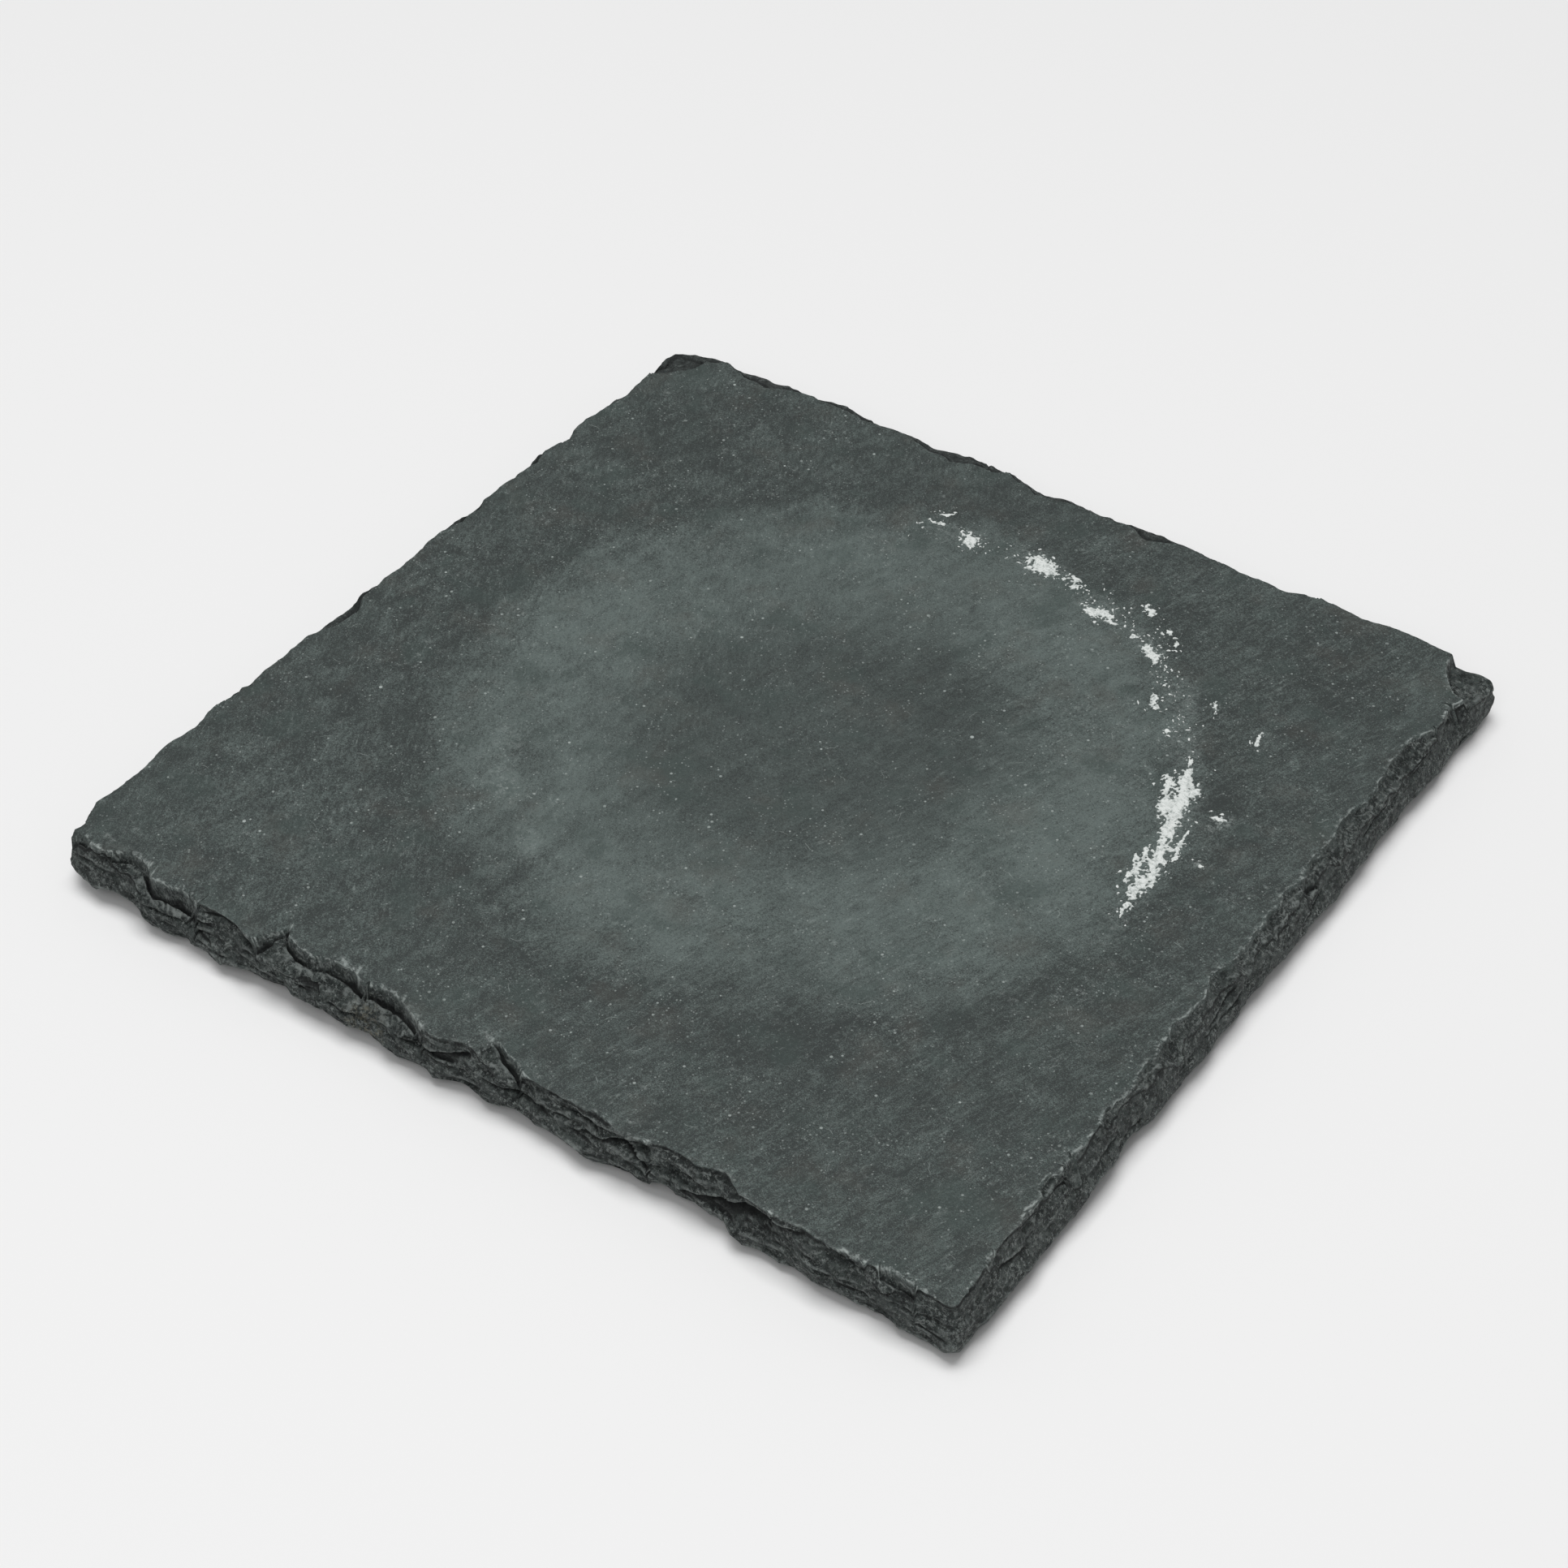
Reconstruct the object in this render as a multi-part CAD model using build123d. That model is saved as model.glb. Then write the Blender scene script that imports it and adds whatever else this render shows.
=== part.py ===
from build123d import *
import math
import os
from collections import namedtuple

# Square riven slate slab of coaster size. It lies level on four stick-on foam feet, and a
# crust of lime from wet cups is bonded to its top. Millimetres. +X runs to the right, +Y to
# the back and +Z up. The origin is on the table, under the middle of the slab.

# Driving dimensions
LENGTH = 100.0          # left to right, across the bottom face of the stone
WIDTH = 99.0            # front to back, across the bottom face of the stone
STONE = 5.0             # thickness of the stone
PAD_DIAMETER = 10.0
PAD_THICK = 1.0
FILM_DIAMETER = 9.6     # double-sided adhesive, a little smaller than its pad
FILM_THICK = 0.2
PAD_INSET = 12.0        # middle of a pad, in from the two sides beside it
CRUST_DEPTH = 0.15      # how deep the lime is keyed into the stone

# The stone is trimmed from below, so each side leans in by this much at the top
LEAN = {"front": 1.2, "right": 2.2, "back": 0.9, "left": 1.5}
# Radius of the upright edge at each corner
CORNERS = {(-1, -1): 3.0, (1, -1): 0.8, (1, 1): 1.2, (-1, 1): 2.6}

BOTTOM = PAD_THICK + FILM_THICK
TOP = BOTTOM + STONE
LEDGE = 0.3             # step left on a side where a flake broke off
CLEARANCE = 1.0         # how far a cutter runs past the face that it opens

# A flake is a scar in a side: its place along the side, its width and its depth at the face
# that it broke from, and how far into the thickness it reaches.
Flake = namedtuple("Flake", "along wide bite reach")
TOP_FLAKES = {
    "front": [
        Flake(-38.5, 5.5, 1.5, 1.3),
        Flake(-33.0, 7.0, 0.9, 2.8),
        Flake(-16.5, 12.0, 1.6, 1.8),
        Flake(-8.5, 6.5, 1.5, 2.2),
        Flake(3.5, 8.0, 2.3, 1.6),
        Flake(17.0, 7.0, 1.0, 3.0),
        Flake(29.0, 10.0, 1.1, 3.2),
        Flake(42.5, 7.0, 0.8, 1.4),
    ],
    "right": [
        Flake(38.0, 9.0, 0.9, 2.6),
        Flake(26.0, 11.0, 0.8, 1.9),
        Flake(9.0, 9.0, 1.1, 2.9),
        Flake(-7.0, 12.0, 0.7, 2.2),
        Flake(-25.5, 7.0, 0.8, 3.2),
        Flake(-37.0, 9.0, 0.6, 1.7),
    ],
    "back": [
        Flake(-35.0, 7.0, 0.9, 1.3),
        Flake(-23.5, 5.0, 0.7, 1.7),
        Flake(-3.5, 7.0, 1.2, 1.4),
        Flake(6.0, 9.0, 1.5, 1.1),
        Flake(24.0, 9.0, 1.2, 1.6),
    ],
    "left": [
        Flake(28.0, 8.0, 0.6, 1.8),
        Flake(4.0, 8.0, 0.7, 1.2),
        Flake(-14.0, 11.0, 1.4, 1.0),
        Flake(-30.5, 6.0, 0.8, 1.9),
    ],
}
# Flakes that broke from the bottom face leave arches in the lower edge
BOTTOM_FLAKES = {
    "front": [
        Flake(-42.0, 6.0, 1.6, 1.7),
        Flake(-26.5, 4.0, 0.6, 0.8),
        Flake(-12.0, 5.0, 0.9, 1.1),
        Flake(-1.5, 4.0, 0.9, 1.2),
        Flake(5.0, 4.5, 1.0, 1.3),
        Flake(20.5, 5.5, 1.1, 1.5),
        Flake(26.0, 4.0, 0.7, 0.9),
    ],
    "right": [
        Flake(-22.0, 5.0, 0.8, 1.5),
        Flake(19.0, 4.0, 0.5, 1.0),
    ],
    "back": [
        Flake(-18.0, 8.0, 0.8, 1.4),
        Flake(31.0, 7.0, 0.7, 1.2),
    ],
    "left": [
        Flake(14.0, 7.0, 0.7, 1.3),
    ],
}

# Two corners lost the top layer of the stone: the scar's middle and radius, and its depth
CornerScar = namedtuple("CornerScar", "x y radius depth")
CORNER_SCARS = [
    CornerScar(50.5, 48.0, 5.5, 1.7),
    CornerScar(-51.0, 48.0, 6.0, 0.9),
]

# The lime lies on the circle that a cup's foot leaves, thickest on the right
RING_CENTRE = (1.0, 1.5)
RING_RADIUS = 35.3
STREAK_FROM = -2.0      # degrees round the ring
STREAK_SWEEP = 29.0
STREAK_WIDE = 1.8
# An island of lime: its middle, its length and width, and its turn in degrees
Island = namedtuple("Island", "x y long wide turn")
ISLANDS = [
    Island(4.2, 37.5, 3.0, 2.0, -10),
    Island(-3.8, 36.8, 2.2, 1.5, -40),
    Island(13.4, 33.9, 2.6, 1.4, 10),
    Island(20.9, 31.3, 2.0, 1.0, -35),
    Island(16.8, 37.7, 2.0, 1.0, -50),
    Island(9.1, 36.1, 1.1, 0.8, -30),
    Island(24.4, 25.8, 1.5, 0.6, -60),
    Island(29.7, 27.9, 1.2, 0.6, 90),
    Island(34.75, 4.2, 3.2, 0.6, 90),
    Island(36.95, 8.4, 2.2, 0.5, 90),
    Island(38.1, 13.9, 1.6, 1.0, 0),
]

SIDES = {"front": (0, -1), "right": (1, 0), "back": (0, 1), "left": (-1, 0)}


def half_span(side):
    """Half of the stone's size at right angles to a side, at the bottom."""
    return LENGTH / 2 if SIDES[side][0] else WIDTH / 2


def side_distance(side, height):
    """How far a side stands from the middle of the slab at a height above its bottom."""
    return half_span(side) - LEAN[side] * height / STONE


def beside(side, along, away):
    """Point at a place along a side, this far from the middle of the slab."""
    out_x, out_y = SIDES[side]
    if out_x:
        return (out_x * away, along)
    return (along, out_y * away)


def flake_cutter(side, flake, from_top):
    """Cone that scoops one flake out of a side, widest at the face that it broke from."""
    face_height = STONE if from_top else 0.0
    end_height = STONE - flake.reach if from_top else flake.reach
    face_radius = (flake.wide ** 2 / 4 + flake.bite ** 2) / (2 * flake.bite)
    axis = side_distance(side, face_height) - flake.bite + face_radius
    end_radius = max(axis - side_distance(side, end_height) + LEDGE, LEDGE)
    spread = (face_radius - end_radius) / flake.reach
    open_radius = face_radius + spread * CLEARANCE
    x, y = beside(side, flake.along, axis)
    tall = flake.reach + CLEARANCE
    if from_top:
        middle = BOTTOM + end_height + tall / 2
        return Pos(x, y, middle) * Cone(end_radius, open_radius, tall)
    middle = BOTTOM + end_height - tall / 2
    return Pos(x, y, middle) * Cone(open_radius, end_radius, tall)


def corner_cutter(scar):
    """Cone that takes the top layer off one corner."""
    tall = scar.depth + CLEARANCE
    middle = TOP - scar.depth + tall / 2
    return Pos(scar.x, scar.y, middle) * Cone(scar.radius - scar.depth, scar.radius + CLEARANCE, tall)


def blank_stone():
    """The trimmed block before any flake broke off, with its corners rounded."""
    wedge = Wedge(
        LENGTH, STONE, WIDTH,
        LEAN["left"], LEAN["back"],
        LENGTH - LEAN["right"], WIDTH - LEAN["front"],
        align=Align.MIN,
    )
    block = Pos(-LENGTH / 2, WIDTH / 2, BOTTOM) * Rot(X=90) * wedge
    for (toward_x, toward_y), radius in CORNERS.items():
        upright = [
            edge for edge in block.edges()
            if edge.center().X * toward_x > LENGTH / 4
            and edge.center().Y * toward_y > WIDTH / 4
            and BOTTOM + STONE / 4 < edge.center().Z < TOP - STONE / 4
        ]
        block = fillet(upright, radius)
    return block


def crust_pieces():
    """Each patch of lime as its own thin solid, flush with the top of the stone."""
    arc = CenterArc(RING_CENTRE, RING_RADIUS, STREAK_FROM, STREAK_SWEEP)
    outlines = [SlotArc(arc, STREAK_WIDE)]
    for island in ISLANDS:
        oval = Ellipse(island.long / 2, island.wide / 2, rotation=island.turn)
        outlines.append(Pos(island.x, island.y) * oval)
    return [Pos(0, 0, TOP) * extrude(outline, -CRUST_DEPTH) for outline in outlines]


def slate_slab(crust):
    """The stone: flaked sides, two broken corners, and a pocket under each patch of lime."""
    cutters = [corner_cutter(scar) for scar in CORNER_SCARS]
    for side in SIDES:
        cutters += [flake_cutter(side, flake, True) for flake in TOP_FLAKES[side]]
        cutters += [flake_cutter(side, flake, False) for flake in BOTTOM_FLAKES[side]]
    stone = blank_stone()
    for cutter in cutters + crust:
        stone = stone - cutter
    return stone.solids().sort_by(lambda solid: solid.volume)[-1]


def disc(x, y, diameter, bottom, thick):
    """Round pad or film with its lower face at a height."""
    return Pos(x, y, bottom + thick / 2) * Cylinder(diameter / 2, thick)


def feet():
    """The four foam pads and the adhesive film on each, by node name."""
    pieces = {}
    for row, toward_y in (("front", -1), ("back", 1)):
        for column, toward_x in (("left", -1), ("right", 1)):
            x = toward_x * (LENGTH / 2 - PAD_INSET)
            y = toward_y * (WIDTH / 2 - PAD_INSET)
            place = f"{row}_{column}"
            pieces[f"foot_pad_{place}"] = disc(x, y, PAD_DIAMETER, 0.0, PAD_THICK)
            pieces[f"pad_adhesive_{place}"] = disc(x, y, FILM_DIAMETER, PAD_THICK, FILM_THICK)
    return pieces


def main():
    crust = crust_pieces()
    nodes = {"slate_slab": slate_slab(crust), "mineral_crust": Compound(children=crust)}
    nodes.update(feet())
    os.makedirs("parts", exist_ok=True)
    for name, shape in nodes.items():
        export_step(shape, f"parts/{name}.step")
    overall = Compound(children=[Part() + shape for shape in nodes.values()]).bounding_box()
    print("overall", overall.min, overall.max)
    print("stone volume", round(nodes["slate_slab"].volume), "mm3")


main()
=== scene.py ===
"""A riven slate slab on four stick-on foam feet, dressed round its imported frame."""

import logging
import math
from collections.abc import Callable, Sequence
from dataclasses import dataclass, field
from enum import Enum

import bmesh
import bpy
import numpy as np
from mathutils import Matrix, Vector


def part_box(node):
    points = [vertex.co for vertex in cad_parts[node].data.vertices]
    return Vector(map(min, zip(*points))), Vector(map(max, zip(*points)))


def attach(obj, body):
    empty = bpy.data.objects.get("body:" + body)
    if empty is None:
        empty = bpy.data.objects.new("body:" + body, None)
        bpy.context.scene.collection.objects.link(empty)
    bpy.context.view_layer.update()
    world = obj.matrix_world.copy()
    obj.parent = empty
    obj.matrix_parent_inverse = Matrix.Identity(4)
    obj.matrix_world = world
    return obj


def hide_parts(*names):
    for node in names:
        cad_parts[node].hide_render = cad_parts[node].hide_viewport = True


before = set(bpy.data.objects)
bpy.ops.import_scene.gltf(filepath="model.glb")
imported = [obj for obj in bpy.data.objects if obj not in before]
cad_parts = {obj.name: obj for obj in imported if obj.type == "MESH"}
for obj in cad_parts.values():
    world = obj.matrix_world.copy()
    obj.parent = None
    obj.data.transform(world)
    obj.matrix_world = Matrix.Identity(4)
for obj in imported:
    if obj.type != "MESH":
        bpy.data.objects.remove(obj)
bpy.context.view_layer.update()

log = logging.getLogger("slate")

MM = 0.001
BODY = "root"
SEED = 71
Triple = tuple[float, float, float]
Colour = tuple[float, float, float, float]


class Side(Enum):
    """A side of the slab, by the way that it faces."""

    FRONT = (0, -1)
    RIGHT = (1, 0)
    BACK = (0, 1)
    LEFT = (-1, 0)


class Slot(Enum):
    """A material slot of the record."""

    SLATE = "slate"
    LIME = "limescale"
    FOAM = "foam"
    GLUE = "adhesive"


class Roughness:
    """Seeded smooth noise over a plane, from -1 to 1."""

    CELLS = 256

    def __init__(self, seed: int) -> None:
        """Fills the lattice.

        Args:
            seed: Which noise this is.
        """
        self.lattice = np.random.default_rng(seed).uniform(-1, 1, (self.CELLS, self.CELLS))

    def at(self, x: np.ndarray, y: np.ndarray, size: float) -> np.ndarray:
        """One layer of noise.

        Args:
            x: Places along the first axis, mm.
            y: Places along the second axis, mm.
            size: Width of one lattice cell, mm.

        Returns:
            The noise at each place.
        """
        u, v = np.asarray(x, float) / size, np.asarray(y, float) / size
        i, j = np.floor(u).astype(int), np.floor(v).astype(int)
        s, t = ease(u - i), ease(v - j)
        i, j = i % self.CELLS, j % self.CELLS
        k, m = (i + 1) % self.CELLS, (j + 1) % self.CELLS
        grid = self.lattice
        near = grid[i, j] * (1 - s) + grid[k, j] * s
        far = grid[i, m] * (1 - s) + grid[k, m] * s
        return near * (1 - t) + far * t

    def layers(self, x: np.ndarray, y: np.ndarray, size: float, count: int) -> np.ndarray:
        """Noise over noise, each layer half the size and half the strength of the last.

        Args:
            x: Places along the first axis, mm.
            y: Places along the second axis, mm.
            size: Cell of the coarsest layer, mm.
            count: How many layers.

        Returns:
            The summed noise at each place.
        """
        total = np.zeros(np.broadcast(x, y).shape)
        for layer in range(count):
            shrink = 0.5**layer
            total = total + shrink * self.at(x + 37.1 * layer, y - 17.3 * layer, size * shrink)
        return total

    def bowls(self, x: np.ndarray, y: np.ndarray, long: float, wide: float) -> np.ndarray:
        """Shallow bowls that meet in sharp ridges, as flaked stone has.

        Args:
            x: Places along the first axis, mm.
            y: Places along the second axis, mm.
            long: Size of a bowl along the first axis, mm.
            wide: Size of a bowl along the second axis, mm.

        Returns:
            Heights from about -0.5 in a bowl to 0.7 on a ridge.
        """
        u, v = np.broadcast_arrays(np.asarray(x, float) / long, np.asarray(y, float) / wide)
        i, j = np.floor(u).astype(int), np.floor(v).astype(int)
        low = np.full(u.shape, 9.0)
        for di in (-1, 0, 1):
            for dj in (-1, 0, 1):
                a, b = (i + di) % self.CELLS, (j + dj) % self.CELLS
                cx = i + di + 0.5 + 0.48 * self.lattice[a, b]
                cy = j + dj + 0.5 + 0.48 * self.lattice[b, a]
                floor = 0.45 * self.lattice[(a + 31) % self.CELLS, (b + 57) % self.CELLS]
                low = np.minimum(low, floor + (u - cx) ** 2 + (v - cy) ** 2)
        return low - 0.35


def ease(value: np.ndarray) -> np.ndarray:
    """Smooth step of a value from 0 to 1."""
    held = np.clip(value, 0.0, 1.0)
    return held * held * (3.0 - 2.0 * held)


def deselect() -> None:
    """Leaves nothing selected, so that an operator acts on one piece only."""
    if bpy.context.object and bpy.context.object.mode != "OBJECT":
        bpy.ops.object.mode_set(mode="OBJECT")
    bpy.ops.object.select_all(action="DESELECT")


def bell(value: np.ndarray, middle: float, width: float) -> np.ndarray:
    """A smooth peak, 1 at its middle and nearly 0 at two widths from it."""
    return np.exp(-(((value - middle) / width) ** 2))


def take(piece: bpy.types.Object) -> None:
    """Selects one piece alone and makes it active.

    Args:
        piece: The piece.
    """
    deselect()
    piece.select_set(True)
    bpy.context.view_layer.objects.active = piece


def place_vertices(piece: bpy.types.Object, places: np.ndarray) -> None:
    """Moves every vertex of a piece.

    Args:
        piece: The piece.
        places: One row of x, y and z for each vertex, mm.
    """
    piece.data.vertices.foreach_set("co", (places * MM).astype(np.float32).ravel())
    piece.data.update()


def add_grid(name: str, across: int, along: int, places: np.ndarray) -> bpy.types.Object:
    """A grid of faces with each vertex at its own place.

    Args:
        name: The object's name.
        across: Faces in a row.
        along: Rows of faces.
        places: The vertices, row by row, mm.

    Returns:
        The new object.
    """
    deselect()
    bpy.ops.mesh.primitive_grid_add(x_subdivisions=across, y_subdivisions=along, size=1.0)
    piece = bpy.context.object
    piece.name = name
    place_vertices(piece, places)
    return piece


def store(piece: bpy.types.Object, name: str, values: np.ndarray) -> None:
    """Keeps one number for each vertex, which a material reads by name."""
    kept = piece.data.attributes.new(name, "FLOAT", "POINT")
    kept.data.foreach_set("value", np.asarray(values, np.float32).ravel())


# --------------------------------------------------------------------------- the stone


@dataclass(frozen=True)
class Scar:
    """A flake that broke from a side, all in mm.

    along is its middle along the side, wide its width at the outline, bite how far its lip
    lies inside the outline, reach its depth, run the width of the slope below the lip, tilt
    how much deeper its floor lies on its right-hand end, from -1 to 1, and notch how deep a
    crack runs along the foot of its riser.
    """

    along: float
    wide: float
    bite: float
    reach: float
    run: float = 1.0
    tilt: float = 0.0
    notch: float = 0.25

    @property
    def radius(self) -> float:
        """Radius of the arc of its lip."""
        return (self.wide**2 / 4 + self.bite**2) / (2 * self.bite)


@dataclass(frozen=True)
class Ledge:
    """The broken edge of the riven face along one side.

    stations are rows of, in mm: the place along the side, how far the lip lies inside the
    outline, the height of the riser below it, the depth at the outline, and from 0 to 1 how
    open the crack at the foot of the riser is.
    """

    stations: Sequence[tuple[float, float, float, float, float]]

    def at(self, along: np.ndarray) -> list[np.ndarray]:
        """The lip's place, riser, depth and crack at places along the side."""
        table = np.array(self.stations)
        return [np.interp(along, table[:, 0], table[:, column]) for column in range(1, 5)]


@dataclass(frozen=True)
class CornerScar:
    """A corner that lost its top layer: the middle and radius of the break, in mm."""

    x: float
    y: float
    radius: float
    reach: float
    run: float


@dataclass(frozen=True)
class Cleft:
    """A crack along a side where the stone below a layer fell away.

    points are places along the side and heights, in mm, and depth is how far it goes in.
    """

    points: Sequence[tuple[float, float]]
    depth: float
    below: float = 0.45


def unstepped(rows: Sequence[tuple[float, float, float]]) -> list[tuple[float, float, float, float, float]]:
    """Stations of a stretch with a low even riser: the place, the lip and the depth of each, mm."""
    return [(place, lip, 0.2, depth, 0.1) for place, lip, depth in rows]


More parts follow.
